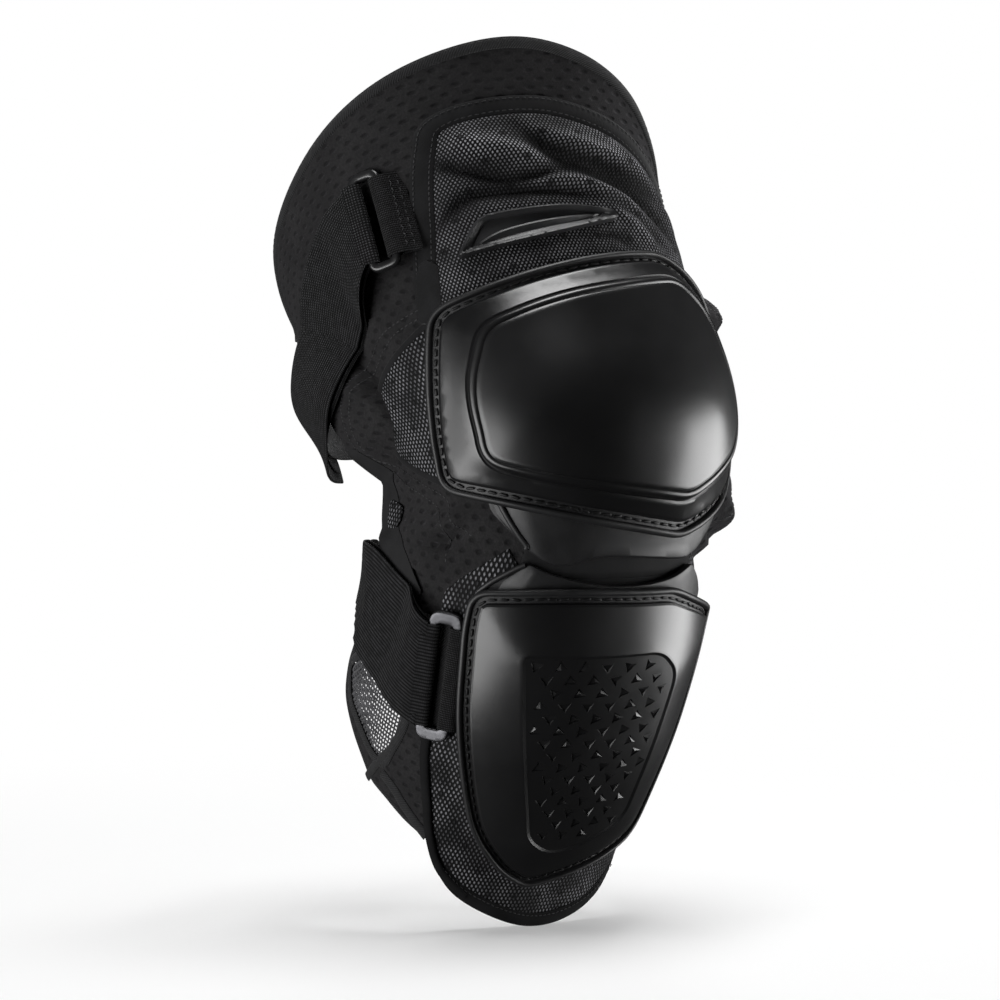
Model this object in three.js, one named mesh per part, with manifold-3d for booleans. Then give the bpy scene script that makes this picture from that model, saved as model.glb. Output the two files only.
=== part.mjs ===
// Knee and shin guard for off-road motorcycling, right leg, in millimetres.
// Origin at the knee joint centre, +Z up the leg, the guard's face towards -Y, outer side -X.
//
// Every soft or moulded piece is cut flat and then wrapped round the leg. Flat coordinates are
// s (round the leg from the front, positive to the inner side), t (up the leg from the knee)
// and h (outwards from the skin).
import * as THREE from 'three';
import { mergeVertices } from 'three/addons/utils/BufferGeometryUtils.js';
import Module from 'manifold-3d';

const wasm = await Module();
wasm.setup();

// ---------- driving dimensions ----------

const ROUND = 75; // mm of s for one radian round the leg
const CELL = 17; // grid spacing of wrapped pieces
const GAP = 0.3; // clearance between touching pieces
const BEND = 1e-4; // curvature of flat slabs, per mm
const THROUGH = 30; // how far a cutter runs past what it cuts

// Cross-sections of the leg inside the guard: t, centre (x, y, z), tilt in degrees,
// half width and half depth. The leg is bent as the guard is moulded.
const SECTIONS = [
  { t: -240, x: -10, y: 54, z: -232, tilt: -16, wide: 56, deep: 56 },
  { t: -175, x: -9, y: 40, z: -170, tilt: -16, wide: 67, deep: 64 },
  { t: -115, x: -6.5, y: 24, z: -112, tilt: -15, wide: 74.5, deep: 74 },
  { t: -60, x: -2.5, y: 10, z: -60, tilt: -10, wide: 76.5, deep: 78 },
  { t: 0, x: 0, y: 0, z: 0, tilt: 4, wide: 76, deep: 80 },
  { t: 60, x: -4, y: 26, z: 48, tilt: 17, wide: 84, deep: 88 },
  { t: 120, x: -10, y: 50, z: 100, tilt: 21, wide: 92, deep: 94 },
  { t: 200, x: -16, y: 58, z: 178, tilt: 21, wide: 92, deep: 95 },
];
const SQUARENESS = 2.3; // exponent of the superellipse section

// Layers, as heights above the skin.
const LINER = [0, 1.9];
const PAD = [3.4, 11.2];
const THIGH_PAD = [2.7, 9.5];
const TRIM = [2.7, 4.4];
const STRAP = [2.7, 4.1];
const HOOK_PATCH = [4.8, 5.4];
const STRAP_TAB = [6.3, 7.6];
const LINK_FABRIC = [5.5, 8];
const LINK = [8.7, 11.2];
const FRAME = [11.9, 13.9];
const BEAD_TOP = 16.2;
const SHELL = [14.9, 17.7];

// Outlines are corners [s, t, corner radius], anticlockwise.
const CUP = [
  [-80, -16, 9], [-50, -21, 30], [-22, -26, 40], [5, -30, 30], [25, -33, 5], [43, -28, 14],
  [66, -18, 16], [78, 18, 40], [62, 64, 14], [42, 77, 10], [29, 82.5, 6], [2, 79.5, 40],
  [-31, 72, 40], [-64, 63, 8], [-83, 11, 50],
];
const CUP_PANEL = [
  [-59, -5, 6], [-38, -11, 30], [-4, -16, 30], [22, -19, 4], [36, -13, 10], [54, -2, 12],
  [60, 22, 20], [46, 56, 10], [30, 68.5, 5], [14, 66, 20], [-20, 60, 40], [-47, 51, 5],
  [-60, 24, 40],
];
const PLATE = [
  [-61, -70, 6], [-57, -110, 40], [-51, -142, 20], [-43, -172, 14], [-27, -192, 8],
  [-13, -200, 5], [6, -195, 12], [30, -187, 20], [53, -177, 12], [61, -140, 40],
  [64, -100, 30], [69, -66, 3], [27, -51.5, 5], [-25, -50, 30], [-60, -53.5, 8],
];
const PLATE_PANEL = [
  [-37, -76, 4], [-30, -120, 30], [-19, -171, 6], [-9, -178.5, 6], [4, -177, 6], [29, -163, 8],
  [33, -86, 8], [21, -75, 6],
];
const VENT = [
  [-48, 83, 2], [-17, 88, 30], [18, 98, 2], [17, 103, 2], [-5, 106, 30], [-37, 103, 6],
];

// Edge curves, as points of a smooth curve.
const THIGH_ARCH = [
  [-162, 90], [-157, 126], [-128, 149], [-87, 171], [-52, 184], [-16, 190], [12, 184], [40, 168],
  [62, 147], [88, 121], [126, 94],
];
const PAD_EDGE = [
  [-63, 66], [-53, 103], [-47, 140], [-41, 151], [-11, 154], [12, 149], [34, 139], [54, 122],
  [70, 98], [76, 76],
];
const SHIN_HEM = [
  [-69, -133], [-62, -182], [-51, -199], [-34, -210], [-5, -219], [22, -217], [48, -206],
  [65, -184], [72, -133],
];
// Middle lines of the straps, from their buckles round the back of the leg.
const STRAP_PATHS = {
  upper: [
    [-70, 114], [-90, 104], [-110, 91], [-132, 76], [-150, 59], [-167, 39], [-186, 24], [-210, 18],
    [-236, 20], [-270, 30], [-305, 48], [-335, 67], [-365, 76],
  ],
  lower: [
    [-60, -98], [-80, -93], [-105, -83], [-134, -76], [-160, -84], [-190, -95], [-236, -101],
    [-300, -98], [-376, -95],
  ],
};

const STRAP_WIDTH = { upper: 42, lower: 54 };
const RING_BAR = { wide: 4.2, thick: 3 }; // section of a buckle's bars
const HEM_TOP = 184; // the hem's ends, below the knee
const RING_SPAN = 13; // between the two long bars of a buckle
const WEB = 1.3; // thickness of webbing folded round a bar
const BAR_PLAY = 0.7; // room for a bar to turn in its fold

const COLOURS = {
  fabric: 0x17171a, mesh: 0x202022, foam: 0x1c1c1e, rubber: 0x101012, shell: 0x1a1b1d,
  webbing: 0x131315, plastic: 0x0d0d0e, steel: 0x55565a,
};
const FINISHES = {
  fabric: [0.95, 0], mesh: [0.85, 0], foam: [0.9, 0], rubber: [0.6, 0], shell: [0.42, 0],
  webbing: [0.85, 0], plastic: [0.35, 0], steel: [0.3, 1],
};

// ---------- the leg ----------

// Smooth curve through SECTIONS for one of their values.
function along(key, t) {
  const last = SECTIONS.length - 1;
  let i = 0;
  while (i < last - 1 && t > SECTIONS[i + 1].t) i += 1;
  const slope = (k) => {
    const a = SECTIONS[Math.max(k - 1, 0)];
    const b = SECTIONS[Math.min(k + 1, last)];
    return (b[key] - a[key]) / (b.t - a.t);
  };
  const from = SECTIONS[i];
  const to = SECTIONS[i + 1];
  const span = to.t - from.t;
  const u = (t - from.t) / span;
  const rise = u * u * (3 - 2 * u);
  return from[key] * (1 - rise) + to[key] * rise
    + slope(i) * span * u * (1 - u) ** 2 - slope(i + 1) * span * u * u * (1 - u);
}

// The point at s round the leg, t up it and h out of the skin.
function onLeg(s, t, h) {
  const turn = s / ROUND;
  const side = Math.abs(Math.sin(turn) / along('wide', t)) ** SQUARENESS;
  const face = Math.abs(Math.cos(turn) / along('deep', t)) ** SQUARENESS;
  const radius = (side + face) ** (-1 / SQUARENESS) + h;
  const forward = radius * Math.cos(turn);
  const tilt = THREE.MathUtils.degToRad(along('tilt', t));
  return new THREE.Vector3(
    along('x', t) + radius * Math.sin(turn),
    along('y', t) - forward * Math.cos(tilt),
    along('z', t) + forward * Math.sin(tilt),
  );
}

// ---------- cutting flat and wrapping ----------

function toSolid(geometry) {
  const bare = geometry.clone();
  bare.deleteAttribute('normal');
  bare.deleteAttribute('uv');
  const merged = mergeVertices(bare, 1e-4);
  return new wasm.Manifold(new wasm.Mesh({
    numProp: 3,
    vertProperties: new Float32Array(merged.attributes.position.array),
    triVerts: new Uint32Array(merged.index.array),
  }));
}

function toGeometry(solid) {
  const mesh = solid.getMesh();
  const geometry = new THREE.BufferGeometry();
  geometry.setAttribute('position', new THREE.BufferAttribute(mesh.vertProperties, 3));
  geometry.setIndex(new THREE.BufferAttribute(mesh.triVerts, 1));
  return geometry;
}

// Corner list to a dense outline, each corner rounded by its radius.
function rounded(corners) {
  const points = [];
  corners.forEach(([s, t, radius = 0], i) => {
    const corner = new THREE.Vector2(s, t);
    const before = new THREE.Vector2(...corners.at(i - 1));
    const after = new THREE.Vector2(...corners[(i + 1) % corners.length]);
    const reach = (end) => Math.min(radius, corner.distanceTo(end) * 0.45);
    const start = corner.clone().lerp(before, reach(before) / corner.distanceTo(before));
    const stop = corner.clone().lerp(after, reach(after) / corner.distanceTo(after));
    if (radius === 0) points.push(corner);
    else points.push(...new THREE.QuadraticBezierCurve(start, corner, stop).getPoints(3));
  });
  return points;
}

// Corners moved inwards by a distance, so that every edge moves parallel to itself.
function inset(corners, distance) {
  const edge = (a, b) => {
    const run = new THREE.Vector2(b[0] - a[0], b[1] - a[1]).normalize();
    const inward = new THREE.Vector2(-run.y, run.x);
    const start = new THREE.Vector2(a[0], a[1]).addScaledVector(inward, distance);
    return { start, run };
  };
  return corners.map((corner, i) => {
    const first = edge(corners.at(i - 1), corner);
    const second = edge(corner, corners[(i + 1) % corners.length]);
    const across = first.run.cross(second.run);
    if (Math.abs(across) < 0.02) return [second.start.x, second.start.y, corner[2]];
    const step = second.start.clone().sub(first.start).cross(second.run) / across;
    const meet = first.start.clone().addScaledVector(first.run, step);
    return [meet.x, meet.y, Math.max(corner[2] - distance, 2)];
  });
}

function smooth(points, count = points.length * 3) {
  return new THREE.SplineCurve(points.map((p) => new THREE.Vector2(...p))).getPoints(count);
}

// A curve's points moved to their left.
function shifted(points, distance) {
  return points.map((point, i) => {
    const before = points[Math.max(i - 1, 0)];
    const after = points[Math.min(i + 1, points.length - 1)];
    const run = after.clone().sub(before).normalize();
    return new THREE.Vector2(point.x - run.y * distance, point.y + run.x * distance);
  });
}

function prism(points, [low, high]) {
  const geometry = new THREE.ExtrudeGeometry(new THREE.Shape(points), {
    depth: high - low,
    bevelEnabled: false,
  });
  return toSolid(geometry.translate(0, 0, low));
}

// A slab is bent by a hair while it is cut, because cutting joins up the cells of a flat one.
// wrap takes this bend out again.
const hairBend = (s, t) => BEND * (s * s + t * t);

// A flat slab with a grid fine enough to bend, trimmed to an outline.
function slab(points, [low, high], cell = CELL) {
  const box = new THREE.Box2().setFromPoints(points).expandByScalar(1);
  const size = box.getSize(new THREE.Vector2());
  const centre = box.getCenter(new THREE.Vector2());
  const grid = new THREE.BoxGeometry(
    size.x, size.y, high - low, Math.ceil(size.x / cell), Math.ceil(size.y / cell), 1,
  );
  grid.translate(centre.x, centre.y, (low + high) / 2);
  const position = grid.attributes.position;
  for (let i = 0; i < position.count; i += 1) {
    const lift = hairBend(position.getX(i), position.getY(i));
    position.setZ(i, position.getZ(i) + lift);
  }
  return toSolid(grid).intersect(prism(points, [low - THROUGH, high + THROUGH]));
}

function wrap(solid, relief = () => 0) {
  const geometry = toGeometry(solid);
  const position = geometry.attributes.position;
  for (let i = 0; i < position.count; i += 1) {
    const [s, t, h] = [position.getX(i), position.getY(i), position.getZ(i)];
    const point = onLeg(s, t, h + relief(s, t) - hairBend(s, t));
    position.setXYZ(i, point.x, point.y, point.z);
  }
  return geometry;
}

const guard = new THREE.Group();

function add(name, material, geometry) {
  const [roughness, metalness] = FINISHES[material];
  const mesh = new THREE.Mesh(geometry, new THREE.MeshStandardMaterial({
    color: COLOURS[material], roughness, metalness,
  }));
  mesh.name = name;
  guard.add(mesh);
  return mesh;
}

// ---------- armour ----------

// How far a bulge stands out at a place: 1 at its centre, 0 at its rim.
function bulge([s, t], centre, reach) {
  const away = ((s - centre[0]) / reach[0]) ** 2 + ((t - centre[1]) / reach[1]) ** 2;
  return Math.max(0, 1 - away);
}
const cupRelief = (s, t) => 4.5 * bulge([s, t], [-2, 24], [92, 66]);
const plateRelief = (s, t) => 2.5 * bulge([s, t], [2, -118], [74, 92]);

// The soft moulded rim that carries a hard shell: a flange with a raised bead round it.
function shellFrame(outline, flange, relief) {
  const whole = slab(rounded(outline), [FRAME[0], BEAD_TOP]);
  const seat = slab(rounded(inset(outline, 3.6)), [FRAME[1], BEAD_TOP + 1]);
  const hole = prism(rounded(inset(outline, flange)), [-THROUGH, THROUGH]);
  return wrap(whole.subtract(seat).subtract(hole), relief);
}

function cupShell() {
  const thick = slab(rounded(inset(CUP, 5)), [SHELL[0], SHELL[1] + 1.4]);
  const panel = prism(rounded(CUP_PANEL), [-THROUGH, THROUGH]);
  const around = slab(rounded(CUP), [SHELL[1], SHELL[1] + 2]).subtract(panel);
  return wrap(thick.subtract(around), cupRelief);
}

function plateShell() {
  const shell = slab(rounded(inset(PLATE, 4.6)), SHELL);
  const recess = slab(rounded(PLATE_PANEL), [SHELL[1] - 1.2, SHELL[1] + 1]);
  return wrap(shell.subtract(recess), plateRelief);
}

function vent() {
  const body = slab(rounded(VENT), [THIGH_PAD[1] + GAP, THIGH_PAD[1] + 3.6], 8);
  const recess = slab(rounded(inset(VENT, 2)), [THIGH_PAD[1] + 1.8, THIGH_PAD[1] + 5], 8);
  return wrap(body.subtract(recess));
}

const UPPER_LINK = [
  [-60, -22, 5], [-42, -38, 4], [-27, -41, 10], [30, -41, 10], [44, -38.5, 4], [60, -25, 5],
  [58, -21, 3], [43, -24, 8], [25, -26, 6], [-20, -18, 20], [-58, -13, 4],
];
const LOWER_LINK = [
  [-57, -62, 3], [60, -66, 3], [64, -60, 4], [45, -46, 5], [25, -50, 10], [0, -51, 20],
  [-27, -49, 10], [-44, -45, 4], [-58, -55, 5],
];

add('knee_cup_frame', 'rubber', shellFrame(CUP, 13, cupRelief));
add('knee_cup_shell', 'shell', cupShell());
add('shin_plate_frame', 'rubber', shellFrame(PLATE, 12, plateRelief));
add('shin_plate_shell', 'shell', plateShell());
add('upper_link_plate', 'rubber', wrap(slab(rounded(UPPER_LINK), LINK)));
add('lower_link_plate', 'rubber', wrap(slab(rounded(LOWER_LINK), LINK)));
add('thigh_vent', 'rubber', vent());

// ---------- pads and liners ----------

const hem = smooth(SHIN_HEM);
const arch = smooth(THIGH_ARCH);
const padEdge = smooth(PAD_EDGE);

function strip(points, near, far, layer) {
  const outline = [...shifted(points, near), ...shifted(points, far).reverse()];
  return wrap(slab(outline, layer));
}

const kneePad = [
  [-70, -9, 8], [-22, -15.5, 30], [5, -19, 20], [25, -22.5, 5], [40, -18, 12], [58, -9, 12],
  [66, 18, 30], [54, 56, 12], [29, 66, 6], [0, 62, 30], [-56, 52, 8], [-71, 12, 30],
];
const shinPadSide = [[58, -128], [60, -70], [-47, -66], [-47, -128]].map(
  ([s, t]) => new THREE.Vector2(s, t),
);
const thighPadFoot = [[64, 66], [44, 68], [29, 73], [0, 70], [-30, 66], [-58, 63]].map(
  ([s, t]) => new THREE.Vector2(s, t),
);
const thighLinerFoot = [[116, 62], [66, 64], [30, 72], [-40, 69], [-74, 62], [-150, 64]].map(
  ([s, t]) => new THREE.Vector2(s, t),
);
const kneeLiner = [[-66, -32, 4], [62, -32, 4], [68, 16, 20], [62, 60, 6], [-64, 60, 6]];
const shinLinerTop = [[66, -120], [62, -37], [-62, -37], [-65.5, -120]].map(
  ([s, t]) => new THREE.Vector2(s, t),
);

add('thigh_liner', 'fabric', wrap(slab([...arch, ...thighLinerFoot], LINER)));
add('thigh_binding', 'fabric', strip(arch, GAP, 3.3, [-0.3, 2.8]));
add('thigh_pad', 'mesh', wrap(slab([...padEdge, ...thighPadFoot], THIGH_PAD)));
add('thigh_pad_border', 'fabric', strip(padEdge.slice(0, -6), GAP, 9.5, TRIM));
add('knee_liner', 'fabric', wrap(slab(rounded(kneeLiner), LINER)));
add('knee_pad', 'foam', wrap(slab(rounded(kneePad), PAD)));
add('shin_liner', 'fabric', wrap(slab([...hem, ...shinLinerTop], LINER)));
add('shin_pad', 'mesh', wrap(slab([...hem, ...shinPadSide], PAD)));
add('shin_hem', 'fabric', strip(hem.filter(({ y }) => y < -HEM_TOP), -GAP, -6, [0, 9]));

// ---------- side fabric ----------

// Pieces that both sides of the leg have, drawn for the outer side and mirrored for the inner.
const SIDE_PIECES = [
  {
    name: 'knee_side_mesh', material: 'mesh', layer: TRIM,
    outline: [
      [-96, 44, 10], [-115, 33, 12], [-127, 14, 10], [-119, -1, 10], [-98, -9, 10], [-75, -14, 3],
      [-75.5, 12, 20], [-70, 56, 3],
    ],
  },
  {
    name: 'upper_side_gusset', material: 'fabric', layer: LINER,
    outline: [[-141, 3, 4], [-68, 3, 0], [-68, 59, 0], [-150, 59, 5]],
  },
  {
    name: 'lower_side_gusset', material: 'fabric', layer: LINER,
    outline: [[-129, -36, 4], [-65, -44, 0], [-68, 0, 0], [-141, 0, 4]],
  },
  {
    name: 'calf_wing', material: 'fabric', layer: LINER,
    outline: [
      [-145, -100, 20], [-144, -133, 10], [-132, -148, 8], [-108, -166, 8], [-68, -181, 3],
      [-76, -140, 30], [-69, -110, 5], [-67, -47, 2], [-129, -39, 6],
    ],
    window: [
      [-139, -112, 4], [-138, -131, 5], [-128, -142, 5], [-114, -150, 5], [-98, -149, 6],
      [-88, -122, 6], [-92, -111, 4], [-112, -103, 4],
    ],
  },
];

for (const [side, mirror] of [['outer', 1], ['inner', -1]]) {
  const placed = (corners) => {
    const moved = corners.map(([s, t, radius]) => [s * mirror, t, radius]);
    return rounded(mirror > 0 ? moved : moved.reverse());
  };
  for (const { name, material, layer, outline, window } of SIDE_PIECES) {
    let solid = slab(placed(outline), layer);
    if (window) {
      solid = solid.subtract(prism(placed(window), [-THROUGH, THROUGH]));
      add(`calf_window_${side}`, 'mesh', wrap(slab(placed(inset(window, GAP)), [0.3, 1.9])));
    }
    add(`${name}_${side}`, material, wrap(solid));
  }
}

const linkGusset = [[-40, -58, 2], [42, -58, 2], [40, -35, 2], [-38, -35, 2]];
add('link_gusset', 'fabric', wrap(slab(rounded(linkGusset), LINK_FABRIC)));

// ---------- straps and buckles ----------

// How far the empty straps hang clear of a leg, and where the lower one folds in behind the knee.
const strapSlack = {
  upper: (s, t) => 22 * bulge([s, t], [-185, 15], [95, 80]),
  lower: (s, t) => -9 * bulge([s, t], [-168, -20], [34, 45]),
};

// The stretch of a strap between two places round the leg, in one layer.
function band(level, from, to, layer) {
  const path = smooth(STRAP_PATHS[level], 72);
  const half = STRAP_WIDTH[level] / 2;
  const whole = [...shifted(path, half), ...shifted(path, -half).reverse()];
  const stretch = rounded([[to, -200], [from, -200], [from, 200], [to, 200]]);
  const solid = slab(whole, layer).intersect(prism(stretch, [-THROUGH, THROUGH]));
  return wrap(solid, strapSlack[level]);
}

// A turned frame on the guard: x forwards round the leg, y up along the strap's width, z outwards.
function placeOn(mesh, [s, t, h], lean) {
  const origin = onLeg(s, t, h);
  const outward = onLeg(s, t, h + 1).sub(origin);
  const up = onLeg(s, t + 1, h).sub(origin);
  up.addScaledVector(outward, -up.dot(outward)).normalize();
  const basis = new THREE.Matrix4().makeBasis(up.clone().cross(outward), up, outward);
  const leaning = new THREE.Matrix4().makeRotationZ(THREE.MathUtils.degToRad(lean));
  mesh.quaternion.setFromRotationMatrix(basis.multiply(leaning));
  mesh.position.copy(origin);
}

function roundedRectangle(wide, high, radius) {
  const [x, y] = [wide / 2, high / 2];
  return rounded([[-x, -y, radius], [x, -y, radius], [x, y, radius], [-x, y, radius]]);
}

// A rectangular ring whose front bar is on its own origin, which is its hinge.
function ringGeometry(width) {
  const high = width + 10;
  const wide = RING_SPAN + RING_BAR.wide;
  const outer = prism(roundedRectangle(wide, high, 6), [-RING_BAR.thick / 2, RING_BAR.thick / 2]);
  const holeWide = RING_SPAN - RING_BAR.wide;
  const hole = prism(roundedRectangle(holeWide, high - 2 * RING_BAR.wide, 1.4), [-5, 5]);
  return toGeometry(outer.subtract(hole)).translate(-RING_SPAN / 2, 0, 0);
}

// Webbing folded round one bar, seen along the bar: a loop with a tail that lies on the guard.
function foldGeometry(width, tail, drop, forwards) {
  const reach = RING_BAR.wide / 2 + BAR_PLAY;
  const rise = RING_BAR.thick / 2 + BAR_PLAY;
  const loop = new THREE.Shape(roundedRectangle(2 * (reach + WEB), 2 * (rise + WEB), 2));
  loop.holes.push(new THREE.Path(roundedRectangle(2 * reach, 2 * rise, 0.3)));
  const loopSolid = toSolid(new THREE.ExtrudeGeometry(loop, { depth: width, bevelEnabled: false }));
  const tailShape = new THREE.Shape([
    new THREE.Vector2(reach + 0.2, drop),
    new THREE.Vector2(reach + tail, drop),
    new THREE.Vector2(reach + tail, drop + WEB),
    new THREE.Vector2(reach + 0.2, drop + WEB * 1.8),
  ]);
  const tailSolid = toSolid(
    new THREE.ExtrudeGeometry(tailShape, { depth: width, bevelEnabled: false }),
  );
  const geometry = toGeometry(loopSolid.add(tailSolid)).translate(0, 0, -width / 2);
  geometry.rotateX(Math.PI / 2);
  if (!forwards) geometry.rotateZ(Math.PI);
  return geometry;
}

const BUCKLES = [
  {
    level: 'upper', material: 'plastic', at: [-68, 114, 9.6], lean: 4,
    strapEnd: -357, tabEnd: -186,
    patch: [[96, 60, 3], [118, 58, 3], [122, 88, 3], [100, 92, 3]],
  },
  {
    level: 'lower', material: 'steel', at: [-63, -96, 8.4], lean: 4,
    strapEnd: -370, tabEnd: -178,
    patch: [[102, -120, 3], [122, -118, 3], [122, -70, 3], [102, -72, 3]],
  },
];

for (const { level, material, at, lean, strapEnd, tabEnd, patch } of BUCKLES) {
  const width = STRAP_WIDTH[level];
  const ring = add(`${level}_buckle`, material, ringGeometry(width));
  placeOn(ring, at, lean);

  const anchor = add(`${level}_anchor_webbing`, 'webbing', foldGeometry(width, 9, -3, true));
  placeOn(anchor, at, lean);

  const fold = foldGeometry(width, 6, 1.2, false).translate(-RING_SPAN, 0, 0);
  placeOn(add(`${level}_strap_fold`, 'webbing', fold), at, lean);

  const start = at[0] - RING_SPAN - 6;
  add(`${level}_strap`, 'webbing', band(level, start, strapEnd, STRAP));
  add(`${level}_strap_tab`, 'webbing', band(level, start - 1, tabEnd, STRAP_TAB));
  add(`${level}_hook_patch`, 'webbing', band(level, tabEnd + 34, tabEnd + 4, HOOK_PATCH));
  add(`${level}_strap_patch`, 'webbing', wrap(slab(rounded(patch), [4.8, 6])));
}

export default guard;
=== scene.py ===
import math

import bmesh
import bpy
import numpy as np
from mathutils import Matrix, Vector, geometry


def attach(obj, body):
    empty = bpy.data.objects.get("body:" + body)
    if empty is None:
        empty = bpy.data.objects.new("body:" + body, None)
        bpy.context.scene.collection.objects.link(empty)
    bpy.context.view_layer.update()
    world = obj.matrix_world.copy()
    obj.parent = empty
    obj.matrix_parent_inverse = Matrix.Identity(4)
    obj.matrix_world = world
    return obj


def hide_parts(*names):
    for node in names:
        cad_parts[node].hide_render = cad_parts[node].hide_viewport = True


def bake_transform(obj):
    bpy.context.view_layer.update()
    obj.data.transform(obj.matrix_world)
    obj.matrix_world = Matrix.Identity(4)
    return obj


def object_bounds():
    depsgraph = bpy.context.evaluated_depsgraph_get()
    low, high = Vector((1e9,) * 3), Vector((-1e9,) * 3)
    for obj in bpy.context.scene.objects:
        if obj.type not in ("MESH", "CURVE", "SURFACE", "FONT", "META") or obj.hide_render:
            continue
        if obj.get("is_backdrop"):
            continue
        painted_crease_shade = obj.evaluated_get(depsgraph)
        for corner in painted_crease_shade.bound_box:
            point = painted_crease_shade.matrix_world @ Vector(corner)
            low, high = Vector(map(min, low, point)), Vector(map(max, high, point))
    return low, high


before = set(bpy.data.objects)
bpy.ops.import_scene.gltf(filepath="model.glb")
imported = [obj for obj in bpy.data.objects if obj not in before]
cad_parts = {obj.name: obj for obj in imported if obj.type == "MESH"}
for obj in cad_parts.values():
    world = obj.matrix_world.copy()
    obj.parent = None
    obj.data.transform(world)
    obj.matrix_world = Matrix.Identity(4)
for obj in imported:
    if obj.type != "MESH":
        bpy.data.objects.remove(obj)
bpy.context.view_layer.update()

# The guard is drawn in flat coordinates, in millimetres, and wrapped round the leg: s goes round
# the leg from its front (positive to the inner side), t up it from the knee and h out of the skin.
# Lengths are millimetres down to the stage, where they are metres; wrapping turns one into the other.

MM = 0.001
ROUND = 75.0  # mm of s for one radian round the leg

# Cross-sections of the leg inside the guard, as in the CAD model.
SECTIONS = {
    "t": (-240, -175, -115, -60, 0, 60, 120, 200),
    "x": (-10, -9, -6.5, -2.5, 0, -4, -10, -16),
    "y": (54, 40, 24, 10, 0, 26, 50, 58),
    "z": (-232, -170, -112, -60, 0, 48, 100, 178),
    "tilt": (-16, -16, -15, -10, 4, 17, 21, 21),
    "wide": (56, 67, 74.5, 76.5, 76, 84, 92, 92),
    "deep": (56, 64, 74, 78, 80, 88, 94, 95),
}
SQUARENESS = 2.3

CUP = [
    (-80, -16, 9), (-50, -21, 30), (-22, -26, 40), (5, -30, 30), (25, -33, 5), (43, -28, 14),
    (66, -18, 16), (78, 18, 40), (62, 64, 14), (42, 77, 10), (29, 82.5, 6), (2, 79.5, 40),
    (-31, 72, 40), (-64, 63, 8), (-83, 11, 50),
]
CUP_PANEL = [
    (-59, -5, 8), (-38, -11, 30), (-4, -16, 30), (22, -19, 5), (36, -13, 10), (54, -2, 12),
    (60, 22, 20), (46, 56, 10), (30, 68.5, 6), (14, 66, 20), (-20, 60, 40), (-47, 51, 7),
    (-60, 24, 40),
]
PLATE = [
    (-61, -70, 6), (-57, -110, 40), (-51, -142, 20), (-43, -172, 14), (-27, -192, 8),
    (-13, -200, 5), (6, -195, 12), (30, -187, 20), (53, -177, 12), (61, -140, 40),
    (64, -100, 30), (69, -66, 3), (27, -51.5, 5), (-25, -50, 30), (-60, -53.5, 8),
]
PLATE_PANEL = [
    (-37, -76, 4), (-30, -120, 30), (-19, -171, 6), (-9, -178.5, 6), (4, -177, 6), (29, -163, 8),
    (33, -86, 8), (21, -75, 6),
]
VENT = [
    (-49, 84.5, 3), (-17, 89.5, 30), (17, 98.5, 2.5), (16, 103.5, 2.5), (-5, 106.5, 30),
    (-37, 103.5, 6),
]
VENT_WINDOW = [
    (-43.5, 88, 2), (-15, 94.2, 30), (5, 98.2, 10), (11.5, 101.4, 1.2), (-5, 103.6, 25),
    (-35.5, 100.6, 3),
]
VENT_RECESS = [
    (-42.5, 88.6, 0.8), (-33, 94.6, 12), (-20, 97.6, 20), (-4, 100.2, 20), (10.5, 101.2, 0.8),
    (-5, 103.2, 25), (-35.2, 100.2, 2.6),
]
THIGH_ARCH = [
    (-162, 90), (-157, 126), (-128, 149), (-87, 171), (-52, 184), (-16, 190), (12, 184), (40, 168),
    (62, 147), (88, 121), (126, 94),
]
THIGH_FOOT = [(116, 62), (66, 64), (30, 72), (-40, 70), (-74, 64), (-150, 64)]
PAD_EDGE = [
    (-63, 66), (-53, 103), (-47, 140), (-41, 151), (-11, 154), (12, 149), (34, 139), (54, 122),
    (70, 98), (76, 76),
]
PAD_FOOT = [(64, 66), (44, 68), (29, 73), (0, 70), (-30, 66), (-58, 63)]
SHIN_HEM = [
    (-69, -133), (-62, -182), (-51, -199), (-34, -210), (-5, -219), (22, -217), (48, -206),
    (65, -184), (72, -133),
]
UPPER_LINK = [
    (-60, -22, 5), (-41, -37.2, 1.5), (-33, -41.3, 4), (-25, -42.4, 3), (-19, -41, 3),
    (-10, -38.8, 4), (5, -39.6, 10), (34, -41.6, 6), (43.5, -38.5, 3), (60, -25, 5), (58, -21, 3),
    (43, -24, 8), (25, -26, 6), (-20, -18, 20), (-58, -13, 4),
]
LOWER_LINK = [
    (-57, -62, 3), (60, -66, 3), (70, -61, 2), (63, -57, 3), (41, -43.8, 2), (30, -48, 6),
    (15, -49.8, 10), (-3, -49.8, 20), (-19, -47.8, 10), (-32, -45.0, 6), (-40, -41.6, 1.5),
    (-58, -55, 3),
]

# The middle of each strap, from its buckle round the back of the leg.
STRAP_PATHS = {
    "upper": [
        (-70, 124), (-81, 114), (-97, 99), (-114, 83), (-131, 66), (-149, 46), (-168, 28),
        (-186, 21), (-210, 24), (-236, 30), (-270, 40), (-305, 54), (-335, 67), (-365, 76),
    ],
    "lower": [
        (-60, -98), (-80, -93), (-105, -82), (-134, -73), (-160, -80), (-190, -95), (-236, -104),
        (-300, -98), (-376, -95),
    ],
}

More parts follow.
